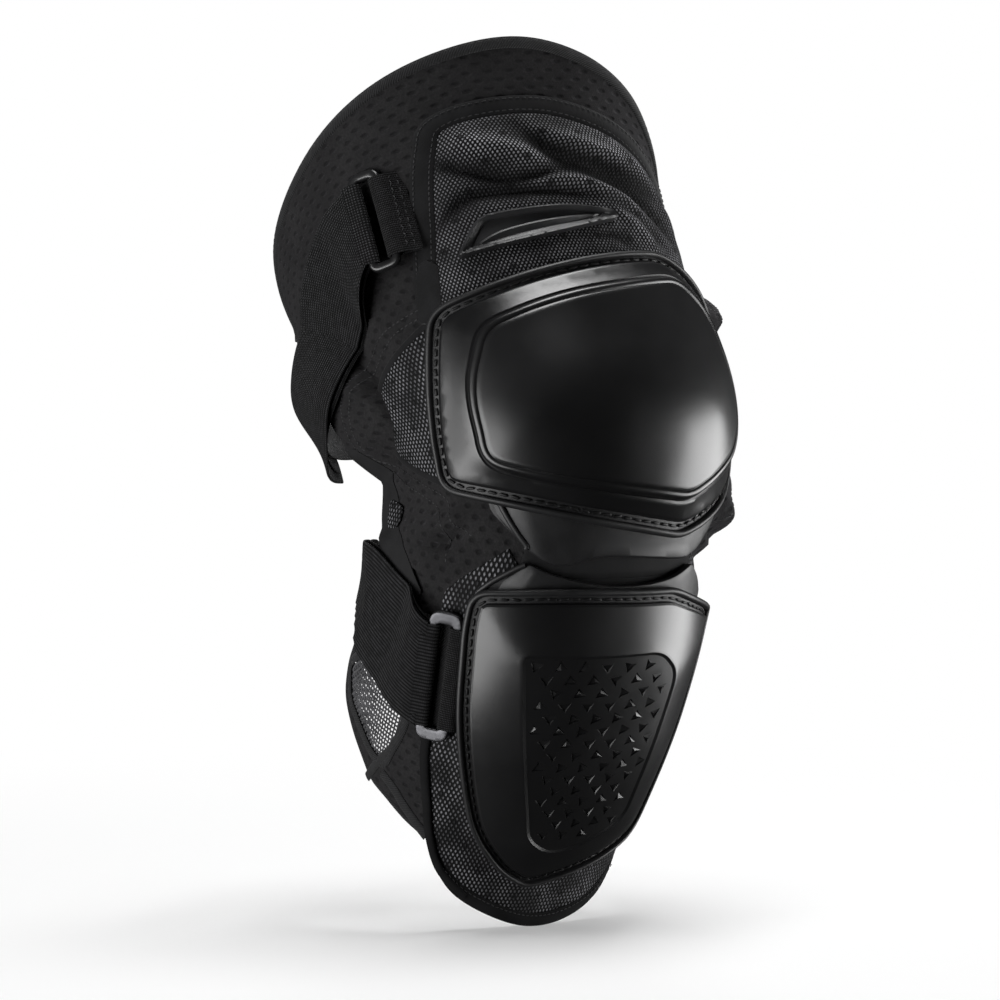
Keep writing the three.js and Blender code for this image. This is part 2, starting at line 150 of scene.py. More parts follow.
# Where each buckle is and its strap ends, and the widths of its parts along its bars.
BUCKLES = {
    "upper": {
        "body": "thigh", "at": (-68, 114, 9.6), "lean": 4, "strap_end": -357, "tab_end": -186,
        "tab_hang": 20.0, "hook_hang": 14.0,
        "width": 42, "ring": 52, "slot": 43.2, "ring_rim": 1.3, "anchor": 41.4, "turn": 41.4,
        "patch": [(96, 60, 3), (118, 58, 3), (122, 88, 3), (100, 92, 3)],
    },
    "lower": {
        "body": "shin", "at": (-63, -96, 8.4), "lean": 4, "strap_end": -370, "tab_end": -178,
        "tab_hang": 0.0, "hook_hang": 0.0,
        "width": 54, "ring": 66, "slot": 53.4, "ring_rim": 0.8, "anchor": 51.4, "turn": 51.6,
        "patch": [(102, -120, 3), (122, -118, 3), (122, -70, 3), (102, -72, 3)],
    },
}
RING_BAR = {"wide": 4.2, "thick": 3.0}
RING_SPAN = 13.0  # between the two bars that the webbing goes round

# Heights above the skin, close to the CAD model's layers.
LINER_TOP = 1.9
STRAP_LAYER = (2.7, 4.1)
TAB_LAYER = (6.0, 7.6)
HOOK_LAYER = (4.7, 5.8)
LINK_LOW = 8.7
SHELL_LOW = 13.7


# ---------- the leg ----------

def along(key, t):
    """Smooth curve through SECTIONS for one of their values."""
    knots = np.array(SECTIONS["t"], float)
    values = np.array(SECTIONS[key], float)
    last = len(knots) - 1
    before = np.maximum(np.arange(last + 1) - 1, 0)
    after = np.minimum(np.arange(last + 1) + 1, last)
    slopes = (values[after] - values[before]) / (knots[after] - knots[before])
    i = np.clip(np.searchsorted(knots, t, side="left") - 1, 0, last - 1)
    span = knots[i + 1] - knots[i]
    u = (t - knots[i]) / span
    rise = u * u * (3 - 2 * u)
    return (
        values[i] * (1 - rise) + values[i + 1] * rise
        + slopes[i] * span * u * (1 - u) ** 2 - slopes[i + 1] * span * u * u * (1 - u)
    )


def on_leg(flat):
    """Flat (s, t, h) rows in millimetres to points in metres."""
    flat = np.asarray(flat, float)
    s, t, h = flat[:, 0], flat[:, 1], flat[:, 2]
    turn = s / ROUND
    side = np.abs(np.sin(turn) / along("wide", t)) ** SQUARENESS
    face = np.abs(np.cos(turn) / along("deep", t)) ** SQUARENESS
    radius = (side + face) ** (-1 / SQUARENESS) + h
    forward = radius * np.cos(turn)
    tilt = np.radians(along("tilt", t))
    return MM * np.stack([
        along("x", t) + radius * np.sin(turn),
        along("y", t) - forward * np.cos(tilt),
        along("z", t) + forward * np.sin(tilt),
    ], -1)


def local_frame(at, lean, shift=0.0):
    """x forwards round the leg, y along a buckle's bars, z outwards, as the CAD places them."""
    s, t, h = at
    origin, out, up = on_leg([(s, t, h), (s, t, h + 1), (s, t + 1, h)])
    out = Vector(out - origin).normalized()
    up = Vector(up - origin)
    up = (up - out * up.dot(out)).normalized()
    basis = Matrix((up.cross(out), up, out)).transposed().to_4x4()
    turned = Matrix.Translation(origin) @ basis @ Matrix.Rotation(math.radians(lean), 4, "Z")
    return turned @ Matrix.Translation((shift * MM, 0, 0))


def in_frame(matrix):
    """A placer like on_leg for flat pieces drawn in a local frame, in millimetres."""
    turn = np.array(matrix.to_3x3())
    origin = np.array(matrix.translation)
    return lambda flat: np.asarray(flat, float) * MM @ turn.T + origin


# ---------- outlines ----------

def rounded(corners, steps=8):
    """Corners (s, t, radius) to a dense closed outline."""
    points = []
    longest = 0.45  # of a side, that one corner may take up
    for i, (s, t, radius) in enumerate(corners):
        corner = np.array((s, t), float)
        if radius == 0:
            points.append(corner)
            continue
        ends = []
        for other in (corners[i - 1], corners[(i + 1) % len(corners)]):
            side = np.array(other[:2], float) - corner
            length = np.linalg.norm(side)
            ends.append(corner + side * min(radius, length * longest) / length)
        for u in np.linspace(0, 1, steps):
            points.append((1 - u) ** 2 * ends[0] + 2 * u * (1 - u) * corner + u * u * ends[1])
    return np.array(points)


def spaced(points, gap, closed=True):
    """The same line with points at even spacing."""
    points = np.asarray(points, float)
    line = np.vstack([points, points[:1]]) if closed else points
    steps = np.linalg.norm(np.diff(line, axis=0), axis=1)
    run = np.concatenate([[0], np.cumsum(steps)])
    count = max(4, int(round(run[-1] / gap)))
    at = np.linspace(0, run[-1], count + 1)
    if closed:
        at = at[:-1]
    return np.stack([np.interp(at, run, line[:, k]) for k in range(line.shape[1])], -1)


def shape(corners, gap):
    """Corners (s, t, radius) to a closed outline with points at even spacing."""
    return spaced(rounded(corners), gap)


def smooth(points, count=96):
    """A Catmull-Rom curve through a few points."""
    points = np.asarray(points, float)
    padded = np.vstack([2 * points[0] - points[1], points, 2 * points[-1] - points[-2]])
    out = []
    for at in np.linspace(0, len(points) - 1, count):
        i = min(int(at), len(points) - 2)
        u = at - i
        a, b, c, d = padded[i:i + 4]
        out.append(0.5 * (
            2 * b + (c - a) * u + (2 * a - 5 * b + 4 * c - d) * u * u
            + (3 * b - a - 3 * c + d) * u ** 3
        ))
    return np.array(out)


def normals(points, closed):
    """Unit normals to the left of a line's direction."""
    if closed:
        run = np.roll(points, -1, axis=0) - np.roll(points, 1, axis=0)
    else:
        run = np.gradient(points, axis=0)
    run /= np.maximum(np.linalg.norm(run, axis=1, keepdims=True), 1e-9)
    return np.stack([-run[:, 1], run[:, 0]], -1)


def inset(points, distance, closed=True):
    """A line moved to its left: inwards for an anticlockwise outline."""
    return points + normals(points, closed) * distance


def ring_of(points):
    """A closed outline as a line that ends where it starts."""
    return np.vstack([points, points[:1]])


def inside(points, outline):
    """Which points lie inside a closed outline."""
    x, y = points[:, 0][:, None], points[:, 1][:, None]
    x0, y0 = outline[:, 0][None], outline[:, 1][None]
    x1, y1 = np.roll(outline[:, 0], -1)[None], np.roll(outline[:, 1], -1)[None]
    crosses = (y0 > y) != (y1 > y)
    rise = np.where(y1 == y0, 1e-12, y1 - y0)
    return (crosses & (x < (x1 - x0) * (y - y0) / rise + x0)).sum(1) % 2 == 1


def distance(points, line, closed=True):
    """Distance from each point to a line."""
    a = line
    b = np.roll(line, -1, axis=0)
    if not closed:
        a, b = line[:-1], line[1:]
    run = b - a
    along_run = ((points[:, None] - a[None]) * run[None]).sum(2) / np.maximum(
        (run ** 2).sum(1), 1e-12)[None]
    near = a[None] + np.clip(along_run, 0, 1)[..., None] * run[None]
    return np.linalg.norm(points[:, None] - near, axis=2).min(1)


def signed(points, outline):
    """Distance to a closed outline, positive inside it."""
    return np.where(inside(points, outline), 1, -1) * distance(points, outline)


def ramp(value, low, high):
    """0 up to low, 1 from high on, and smooth between them."""
    u = np.clip((value - low) / (high - low), 0, 1)
    return u * u * (3 - 2 * u)


def bulge(s, t, centre, reach):
    """1 at a place, falling to 0 at its reach."""
    away = ((s - centre[0]) / reach[0]) ** 2 + ((t - centre[1]) / reach[1]) ** 2
    return np.maximum(0, 1 - away)


def fold(points, line, width, height, sharp=2.0):
    """A ridge (or valley, if height is negative) along a smooth line. A low sharp creases it."""
    steps = 32
    path = smooth(line, steps)
    ends = np.linspace(0, 1, steps)
    nearest = np.linalg.norm(points[:, None] - path[None], axis=2).argmin(1)
    taper = np.sin(np.pi * np.clip(ends[nearest] * 0.9 + 0.05, 0, 1)) ** 0.6
    return height * taper * np.exp(-(distance(points, path, False) / width) ** sharp)


# ---------- meshes ----------

def linked(name, data):
    """A new object in the scene."""
    obj = bpy.data.objects.new(name, data)
    bpy.context.scene.collection.objects.link(obj)
    return obj


def declare(slot, first, *others, node=None):
    """Hides the CAD node, if one is given, that the pieces replace. The slot and the pieces are not
    used.
    """
    if node:
        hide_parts(node)


def to_object(name, points, faces, flat, material, body, sharp=38):
    """A piece from its points and faces. flat gives its weaves and patterns their coordinates."""
    mesh = bpy.data.meshes.new(name)
    mesh.from_pydata([tuple(p) for p in points], [], faces)
    mesh.validate()
    weave = mesh.attributes.new("weave", "FLOAT_VECTOR", "POINT")
    weave.data.foreach_set("vector", np.asarray(flat, np.float32).ravel())
    mesh.shade_smooth()
    mesh.set_sharp_from_angle(angle=math.radians(sharp))
    mesh.materials.append(material)
    obj = linked(name, mesh)
    if body:
        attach(obj, body)
    return obj


def lattice(outline, spacing, margin):
    """Staggered points inside an outline, clear of its edge."""
    low, high = outline.min(0), outline.max(0)
    rows = []
    for k, t in enumerate(np.arange(low[1], high[1], spacing * 0.866)):
        start = low[0] + (spacing / 2 if k % 2 else 0)
        s = np.arange(start, high[0], spacing)
        rows.append(np.stack([s, np.full_like(s, t)], -1))
    points = np.vstack(rows)
    points = points[inside(points, outline)]
    return points[distance(points, outline) > margin]


def height_of(value, points):
    """Heights at points, from a number or from a function of the points."""
    return value(points) if callable(value) else np.full(len(points), float(value))


def plate(name, outline, low, top, material, body, rim=1.0, spacing=4.0, holes=(), lines=(),
          extra=(), place=on_leg, sharp=38):
    """A closed sheet cut to an outline, from its inner height low to its outer height top.

    rim rounds its outer edge, lines are feature lines that the mesh follows, and extra are
    closed outlines with a line inside them, such as dimples.
    """
    gap = min(spacing, 2.5)
    edge = spaced(outline, gap)
    loops = [edge] + [spaced(h, gap) for h in holes]
    verts, edges = [], []

    def chain(points, closed=True):
        start = len(verts)
        verts.extend(points)
        count = len(points) if closed else len(points) - 1
        edges.extend((start + i, start + (i + 1) % len(points)) for i in range(count))

    for k, loop in enumerate(loops):
        chain(loop)
        for part in (0.3, 1.0) if rim > 0 else ():
            chain(inset(loop, rim * part * (1 if k == 0 else -1)))
    busy = []
    for line, closed in lines:
        chain(line, closed)
        busy.append(line)
    for around, within in extra:
        chain(around)
        chain(within, False)
        busy += [around, within]
    inner = lattice(edge, spacing, rim + spacing * 0.35)
    for hole in holes:
        keep = ~inside(inner, hole) & (distance(inner, hole) > rim + spacing * 0.35)
        inner = inner[keep]
    if busy:
        near = np.vstack(busy)
        apart = np.array([np.min(((near - p) ** 2).sum(1)) for p in inner])
        inner = inner[apart > (spacing * 0.4) ** 2]
    verts = [Vector(v) for v in verts] + [Vector(v) for v in inner]
    found = geometry.delaunay_2d_cdt(verts, edges, [], 0, 1e-4)
    points = np.array([tuple(v) for v in found[0]])
    faces = np.array(found[2])
    middles = points[faces].mean(1)
    keep = inside(middles, edge)
    for hole in holes:
        keep &= ~inside(middles, hole)
    faces = faces[keep]
    used = np.unique(faces)
    renumber = -np.ones(len(points), int)
    renumber[used] = np.arange(len(used))
    points, faces = points[used], renumber[faces]
    area = np.cross(points[faces[:, 1]] - points[faces[:, 0]],
                    points[faces[:, 2]] - points[faces[:, 0]])
    faces = np.where((area < 0)[:, None], faces[:, ::-1], faces)

    off_edge = np.minimum.reduce([distance(points, loop) for loop in loops])
    height = height_of(top, points)
    if rim > 0:
        into = np.clip(1 - off_edge / rim, 0, 1)
        height = height - rim * (1 - np.sqrt(1 - into * into))
    upper = np.column_stack([points, height])
    lower = np.column_stack([points, height_of(low, points)])
    count = len(points)
    all_faces = [tuple(f) for f in faces] + [tuple(f[::-1] + count) for f in faces]
    seen = {(a, b) for f in faces for a, b in ((f[0], f[1]), (f[1], f[2]), (f[2], f[0]))}
    for a, b in seen:
        if (b, a) not in seen:
            all_faces.append((a, a + count, b + count, b)[::-1])
    flat = np.vstack([upper, lower])
    return to_object(name, place(flat), all_faces, flat, material, body, sharp)


def tube_faces(rows, columns, closed=False):
    """Quads of a tube whose rows are rings of points. A closed tube has no ends."""
    faces = []
    for i in range(rows if closed else rows - 1):
        j = (i + 1) % rows
        for a in range(columns):
            b = (a + 1) % columns
            faces.append((i * columns + a, j * columns + a, j * columns + b, i * columns + b))
    return faces


def slab_faces(rows, columns):
    """A tube with its two ends closed, where half of each ring lies behind the other half."""
    ends = [
        (i * columns + a, i * columns + a + 1, (i + 1) * columns - a - 2, (i + 1) * columns - a - 1)
        for i in (0, rows - 1) for a in range(columns // 2 - 1)
    ]
    return tube_faces(rows, columns) + ends


def sweep(name, path, section, material, body, closed=False, scale=1.0):
    """A section of (left, up) points carried along a path of (s, t, h) points.

    scale is the section's size, or its size at each point of the path.
    """
    path = np.asarray(path, float)
    n, m = len(path), len(section)
    side = normals(path[:, :2], closed)
    across, up = np.array(section, float).T
    scale = np.broadcast_to(scale, n)[:, None]
    flat = np.stack([
        path[:, :1] + side[:, :1] * across * scale, path[:, 1:2] + side[:, 1:] * across * scale,
        path[:, 2:] + up * scale,
    ], -1).reshape(-1, 3)
    faces = tube_faces(n, m, closed)
    if not closed:
        faces.append(tuple(range(m)))
        faces.append(tuple((n - 1) * m + k for k in reversed(range(m))))
    run = np.concatenate([[0], np.cumsum(np.linalg.norm(np.diff(path[:, :2], axis=0), axis=1))])
    weave = np.column_stack([np.repeat(run, m), np.tile(across, n), np.tile(up, n)])
    obj = to_object(name, on_leg(flat), faces, weave, material, body, 50)
    fix_normals(obj)
    return obj


def fix_normals(obj):
    """Turns the faces outwards."""
    work = bmesh.new()
    work.from_mesh(obj.data)
    bmesh.ops.recalc_face_normals(work, faces=work.faces)
    work.to_mesh(obj.data)
    work.free()


def round_section(half_wide, half_high, lift=0.0):
    turns = np.linspace(0, 2 * math.pi, 12, endpoint=False)
    return [(half_wide * math.cos(a), lift + half_high * math.sin(a)) for a in turns]


def with_height(points, h):
    return np.column_stack([points, np.full(len(points), float(h))])


def capsule():
    """Points and faces of a stitch of unit half-length and unit radius, along x."""
    sides = 6
    turns = 2 * math.pi / sides * np.arange(sides)
    rings = [
        np.column_stack([np.full(sides, x), r * np.cos(turns), r * np.sin(turns)])
        for x, r in ((-0.85, 0.7), (-0.5, 1.0), (0.5, 1.0), (0.85, 0.7))
    ]
    points = np.vstack([[(-1, 0, 0)], *rings, [(1, 0, 0)]])
    last = len(points) - 1
    faces = [tuple(1 + v for v in face[::-1]) for face in tube_faces(len(rings), sides)]
    for a in range(sides):
        b = (a + 1) % sides
        faces += [(0, 1 + b, 1 + a), (last, last - sides + a, last - sides + b)]
    return points, faces


def stitches(name, lines, body, pitch=2.6, long=1.8, thick=0.3, zigzag=0.0, place=on_leg,
             material=None):
    """Sewing thread along lines of (s, t, h) points: one short capsule for each stitch."""
    form, form_faces = capsule()
    loose = 6.0  # degrees, how unevenly the stitches lie
    rows, faces = [], []
    draw = np.random.default_rng(len(name))
    for line in lines:
        path = spaced(line, pitch, closed=False)
        middles = (path[1:] + path[:-1]) / 2
        for k, (middle, run) in enumerate(zip(middles, np.diff(path, axis=0))):
            ahead = run[:2] / np.linalg.norm(run[:2])
            climb = run[2] / np.linalg.norm(run[:2])
            turn = math.radians((zigzag if k % 2 else -zigzag) + draw.normal(0, loose))
            left = np.array([-ahead[1], ahead[0]])
            ahead, left = (
                ahead * math.cos(turn) + left * math.sin(turn),
                left * math.cos(turn) - ahead * math.sin(turn),
            )
            x = form[:, 0] * long / 2
            y = form[:, 1] * thick
            z = form[:, 2] * thick * 0.7 + x * climb * math.cos(turn)
            base = len(form) * len(rows)
            rows.append(np.column_stack([
                middle[0] + ahead[0] * x + left[0] * y, middle[1] + ahead[1] * x + left[1] * y,
                middle[2] + z,
            ]))
            faces.extend(tuple(base + v for v in f) for f in form_faces)
    flat = np.vstack(rows)
    return to_object(name, place(flat), faces, flat, material or THREAD, body, 80)


# ---------- materials ----------

class Nodes:
    """Short names for building one material's node tree."""

    def __init__(self, name, colour, roughness, **sockets):
        self.material = bpy.data.materials.new(name)
        self.material.use_nodes = True
        self.tree = self.material.node_tree
        self.shader = self.tree.nodes["Principled BSDF"]
        self.shader.inputs["Base Color"].default_value = (*colour, 1)
        self.shader.inputs["Roughness"].default_value = roughness
        for key, value in sockets.items():
            self.shader.inputs[key.replace("_", " ")].default_value = value
        self.weave = self.node("ShaderNodeAttribute", attribute_name="weave").outputs["Vector"]
        self.place = self.node("ShaderNodeTexCoord").outputs["Object"]

    def node(self, kind, inputs=None, **settings):
        made = self.tree.nodes.new(kind)
        for key, value in settings.items():
            setattr(made, key, value)
        for key, value in (inputs or {}).items():
            if isinstance(value, bpy.types.NodeSocket):
                self.tree.links.new(value, made.inputs[key])
            else:
                made.inputs[key].default_value = value
        return made

    def maths(self, operation, a, b=0.0):
        return self.node("ShaderNodeMath", {0: a, 1: b}, operation=operation).outputs[0]

    def vector(self, operation, a, b=(0, 0, 0)):
        made = self.node("ShaderNodeVectorMath", {0: a, 1: b}, operation=operation)
        return made.outputs["Value" if operation == "LENGTH" else "Vector"]

    def between(self, value, low, high, start=0.0, stop=1.0):
        return self.node("ShaderNodeMapRange", {
            "Value": value, "From Min": low, "From Max": high, "To Min": start, "To Max": stop,
        }, interpolation_type="SMOOTHSTEP").outputs[0]

    def noise(self, scale, detail=3.0, source=None):
        return self.node("ShaderNodeTexNoise", {
            "Vector": source or self.place, "Scale": scale, "Detail": detail,
        }).outputs["Fac"]

    def stretched(self, source, scale, turn=(0, 0, 0)):
        return self.node("ShaderNodeMapping", {
            "Vector": source, "Scale": scale, "Rotation": turn,
        }).outputs[0]

    def cells(self, pitch, stretch=1.0, tall=1.0):
        """Distance, in mm, to the nearest point of a staggered lattice, in the flat pattern.

        stretch squashes the lattice along t, and tall makes its marks longer along t.
        """
        flat = self.stretched(self.weave, (1, 1 / stretch, 0))
        period = (pitch, pitch * math.sqrt(3), 1)
        half = (period[0] / 2, period[1] / 2, 0)
        found = []
        for push in (1000, 1000.5):  # whole periods keep the remainder's argument positive
            moved = self.vector("ADD", flat, (push * period[0], push * period[1], 0))
            moved = self.vector("MODULO", moved, period)
            moved = self.vector("SUBTRACT", moved, half)
            found.append(self.vector("LENGTH", self.vector("MULTIPLY", moved, (1, 1 / tall, 0))))
        return self.maths("MINIMUM", found[0], found[1])

    def ribs(self, axis, pitch, source=None):
        """0 to 1 and back once each pitch along one axis of the flat coordinates."""
        split = self.node("ShaderNodeSeparateXYZ", {0: source or self.weave}).outputs[axis]
        return self.between(self.maths("SINE", self.maths("MULTIPLY", split, 2 * math.pi / pitch)),
                            -1, 1)

    def times(self, *factors):
        product = factors[0]
        for factor in factors[1:]:
            product = self.maths("MULTIPLY", product, factor)
        return product

    def shade(self, factor, dark, light):
        mix = self.node("ShaderNodeMix", {"Factor": factor}, data_type="RGBA")
        mix.inputs["A"].default_value = (*dark, 1)
        mix.inputs["B"].default_value = (*light, 1)
        self.tree.links.new(mix.outputs["Result"], self.shader.inputs["Base Color"])

    def rough(self, factor, low, high):
        value = self.between(factor, 0, 1, low, high)
        self.tree.links.new(value, self.shader.inputs["Roughness"])

    def bump(self, height, depth, previous=None):
        """depth in mm for a height from 0 to 1."""
        inputs = {"Height": height, "Strength": 1.0, "Distance": depth * MM}
        if previous:
            inputs["Normal"] = previous
        made = self.node("ShaderNodeBump", inputs).outputs[0]
        self.tree.links.new(made, self.shader.inputs["Normal"])
        return made


def grey(value, warmth=0.0):
    """A nearly neutral dark colour, a little blue unless it is warmed."""
    return (value * (1 + warmth), value, value * (1 + 0.06 - warmth))


def dimpled_fabric(name="dimpled_fabric", pitch=8.2, depth=0.8, level=0.013):
    """Soft knit over foam with rows of faint lens-shaped dimples."""
    m = Nodes(name, grey(level), 0.92, Specular_IOR_Level=0.14, Sheen_Weight=0.10)
    m.shader.inputs["Sheen Tint"].default_value = (0.4, 0.38, 0.42, 1)
    pit = m.between(m.cells(pitch, stretch=0.62), 0.6, 2.6)
    fuzz = m.noise(900, 4)
    cloud = m.between(m.noise(45, 3), 0.3, 0.7, 0.6, 1.0)
    # Painted shade: the dimples are painted darker, as if shaded in their hollows.
    tone = m.times(m.between(fuzz, 0.3, 0.7, 0.55, 1.0), m.between(pit, 0, 1, 0.45, 1), cloud)
    m.shade(tone, grey(level * 0.3), grey(level * 1.4, 0.03))
    first = m.bump(pit, depth)
    knit = m.bump(m.cells(1.1), 0.10, first)
    m.bump(fuzz, 0.14, knit)
    return m.material


def spacer_mesh(name, pitch, light=0.55, dark=0.003, depth=0.6, tall=1.5, painted_shade_heights=(0.0, 1.0),
                patchy=0.4):
    """Honeycomb spacer mesh: small pale knots over dark holes, with a few sunken spots.

    The pair of shade heights, in mm, sets painted shade in creases: below the first the knots are
    painted nearly black, above the second they keep their colour.
    """
    m = Nodes(name, grey(dark), 0.75, Specular_IOR_Level=0.12)
    top = m.between(m.cells(pitch, tall=tall), pitch * 0.32, pitch * 0.13)
    patch = m.between(m.noise(60, 4), 0.36, 0.64, patchy, 1.0)
    grain = m.between(m.noise(2600, 2), 0.25, 0.75, 0.45, 1.0)
    spots = m.between(m.cells(15), 1.0, 2.0, 0.2, 1.0)
    height = m.node("ShaderNodeSeparateXYZ", {0: m.weave}).outputs[2]
    # Painted shade: the knots fade to dark where the height drops, as in the shade of a crease.
    painted_crease_shade = m.between(height, painted_shade_heights[0], painted_shade_heights[1], 0.06, 1.0)
    m.shade(m.times(top, patch, grain, spots, painted_crease_shade), grey(dark), grey(light))
    first = m.bump(top, depth)
    m.bump(m.noise(2600, 2), 0.06, first)
    return m.material


def elastic(name, across=1.4, lengthwise=1.4, level=0.012, depth=0.6, gaps=0.05):
    """Woven elastic webbing: lengthwise ribs crossed by short picks."""
    m = Nodes(name, grey(level), 0.85, Specular_IOR_Level=0.12, Sheen_Weight=0.04)
    weave = m.times(m.ribs(1, across), m.between(m.ribs(0, lengthwise), 0.2, 0.8, gaps, 1.0))
    worn = m.between(m.noise(240, 4), 0.3, 0.75, 0.5, 1.15)
    m.shade(m.times(weave, worn), grey(level * 0.05), grey(level * 5.0))
    first = m.bump(weave, depth)
    m.bump(m.noise(3200, 2), 0.05, first)
    return m.material


def shell_plastic():
    """Injection-moulded satin plastic: fine grain, cloudy polish and a few hair scratches."""
    m = Nodes("satin_shell", grey(0.010), 0.4)
    cloud = m.noise(16, 4)
    scratches = m.noise(3, 2, m.stretched(m.place, (60, 900, 900), (0.3, 0.5, 0.2)))
    m.shade(m.between(cloud, 0.3, 0.7), grey(0.004), grey(0.007))
    wear = m.maths("ADD", m.between(cloud, 0.25, 0.75, 0.2, 0.7),
                   m.between(scratches, 0.72, 0.8, 0, 0.25))
    m.rough(wear, 0.26, 0.38)
    m.bump(m.noise(2400, 3), 0.03)
    return m.material


def moulded_rubber(name="moulded_rubber", level=0.009, low=0.40, high=0.56, painted_shade_heights=(0.0, 1.0)):
    """Matt rubber. Below the second of its pair of shade heights, in mm, it is painted darker, as
    painted shade in a recess.
    """
    m = Nodes(name, grey(level), 0.5, Specular_IOR_Level=0.4)
    height = m.node("ShaderNodeSeparateXYZ", {0: m.weave}).outputs[2]
    cloud = m.between(m.noise(30, 4), 0.3, 0.7, 0.6, 1)
    # Painted shade: the colour falls towards black below the shade heights, as in a recess.
    m.shade(m.times(cloud, m.between(height, painted_shade_heights[0], painted_shade_heights[1])), grey(0.001), grey(level * 1.3))
    m.rough(m.noise(120, 4), low, high)
    m.bump(m.noise(1900, 3), 0.05)
    return m.material


def binding_tape():
    """Twill tape."""
    m = Nodes("binding_tape", grey(0.012), 0.85, Specular_IOR_Level=0.25, Sheen_Weight=0.1)
    twill = m.ribs(0, 0.9, m.stretched(m.weave, (1, 1, 1), (0, 0, 0.6)))
    m.shade(m.times(twill, m.between(m.noise(300, 3), 0.3, 0.7, 0.5, 1)), grey(0.005), grey(0.020))
    first = m.bump(twill, 0.14)
    m.bump(m.noise(1500, 3), 0.08, first)
    return m.material


def simple(name, level, roughness, grain=1500, depth=0.05, **sockets):
    """A plain material with cloudy colour, uneven gloss and a grain."""
    m = Nodes(name, grey(level), roughness, **sockets)
    cloud = m.noise(90, 3)
    m.shade(m.between(cloud, 0.3, 0.7), grey(level * 0.7), grey(level * 1.3))
    m.rough(cloud, roughness * 0.85, min(1, roughness * 1.15))
    m.bump(m.noise(grain, 3), depth)
    return m.material


def gunmetal():
    """Dark brushed metal."""
    m = Nodes("gunmetal", grey(0.14), 0.34, Metallic=1.0)
    brushed = m.noise(8, 3, m.stretched(m.place, (400, 400, 40)))
    m.shade(m.between(m.noise(70, 4), 0.3, 0.7), grey(0.045), grey(0.08))
    m.rough(brushed, 0.34, 0.5)
    m.bump(brushed, 0.02)
    return m.material


FABRIC = dimpled_fabric()
LINING = dimpled_fabric("perforated_lining", pitch=5.0, depth=0.35, level=0.016)
# Painted shade darkens the pad's knit in its creases, where the fold height drops below 12.4 mm.
THIGH_MESH = spacer_mesh("fine_spacer_mesh", 1.6, light=0.50, painted_shade_heights=(6.0, 12.4), patchy=0.5)
SIDE_MESH = spacer_mesh("coarse_spacer_mesh", 2.3, light=0.24, patchy=0.25)
ELASTIC = elastic("waffle_elastic_strap", level=0.009)
RIBBED_ELASTIC = elastic(
    "ribbed_elastic_strap", across=1.7, lengthwise=0.9, level=0.005, depth=0.6, gaps=0.7)
WEBBING = elastic("plain_webbing", across=1.1, lengthwise=0.8, level=0.006, depth=0.35)
SUEDE = simple("suede_knit", 0.008, 0.92, 800, 0.16, Specular_IOR_Level=0.12, Sheen_Weight=0.08)
SHELL = shell_plastic()
RUBBER = moulded_rubber()
# Painted shade darkens the vent trim's recess, below a height of 10.4 mm.
TRIM = moulded_rubber("vent_trim", 0.016, 0.36, 0.5, painted_shade_heights=(8.0, 10.4))
BINDING = binding_tape()
SMOOTH_FABRIC = simple("smooth_border_fabric", 0.006, 0.9, 700, 0.12, Specular_IOR_Level=0.12)
THREAD = simple("sewing_thread", 0.016, 0.6, 2500, 0.05, Specular_IOR_Level=0.3)
WAXED_THREAD = simple("waxed_thread", 0.003, 0.5, 2500, 0.05, Specular_IOR_Level=0.25)
NET = simple("open_net_yarn", 0.055, 0.65, 2500, 0.04, Specular_IOR_Level=0.3)
RIBBED = simple("ribbed_stretch_fabric", 0.008, 0.85, 1500, 0.08, Specular_IOR_Level=0.25)
FOAM = simple("foam_cover", 0.010, 0.9, 900, 0.15, Specular_IOR_Level=0.2)
GUNMETAL = gunmetal()
BUCKLE_PLASTIC = simple("buckle_plastic", 0.009, 0.30, 1800, 0.02)
HOOK = simple("hook_tape", 0.008, 0.95, 1400, 0.4, Specular_IOR_Level=0.2)


# ---------- hard shells ----------

def cup_relief(s, t):
    """How far the knee makes the cup bulge."""
    return 4.5 * bulge(s, t, (-2, 24), (92, 66))


def plate_relief(s, t):
    """How far the shin plate bulges."""
    return 2.5 * bulge(s, t, (2, -118), (74, 92))


def lifted(points, relief, height=0.0):
    return np.column_stack([points, relief(points[:, 0], points[:, 1]) + height])


SHELL_EDGE = 4.8  # from the bead's outline to the shell
BEAD = [
    (10, 11.9), (0.7, 11.9), (-0.4, 12.6), (-0.7, 13.8), (-0.5, 15.0), (0.1, 15.8), (0.8, 16.1),
    (1.5, 15.8), (1.9, 14.9), (2.1, 13.4), (10, 13.3),
]


def frame_bead(name, node, corners, relief, body):
    """The soft rim that a hard shell is sewn to: a raised bead, and a groove with the seam."""
    outline = shape(corners, 2.0)
    rim = sweep(name, lifted(outline, relief), BEAD, RUBBER, body, closed=True)
    groove = ring_of(inset(outline, 3.4))
    sewn = stitches(f"{name}_stitches", [lifted(groove, relief, SHELL_LOW)], body, pitch=4.6,
                    long=3.7, thick=0.55, material=WAXED_THREAD)
    declare("moulded_rubber", rim, sewn, node=node)


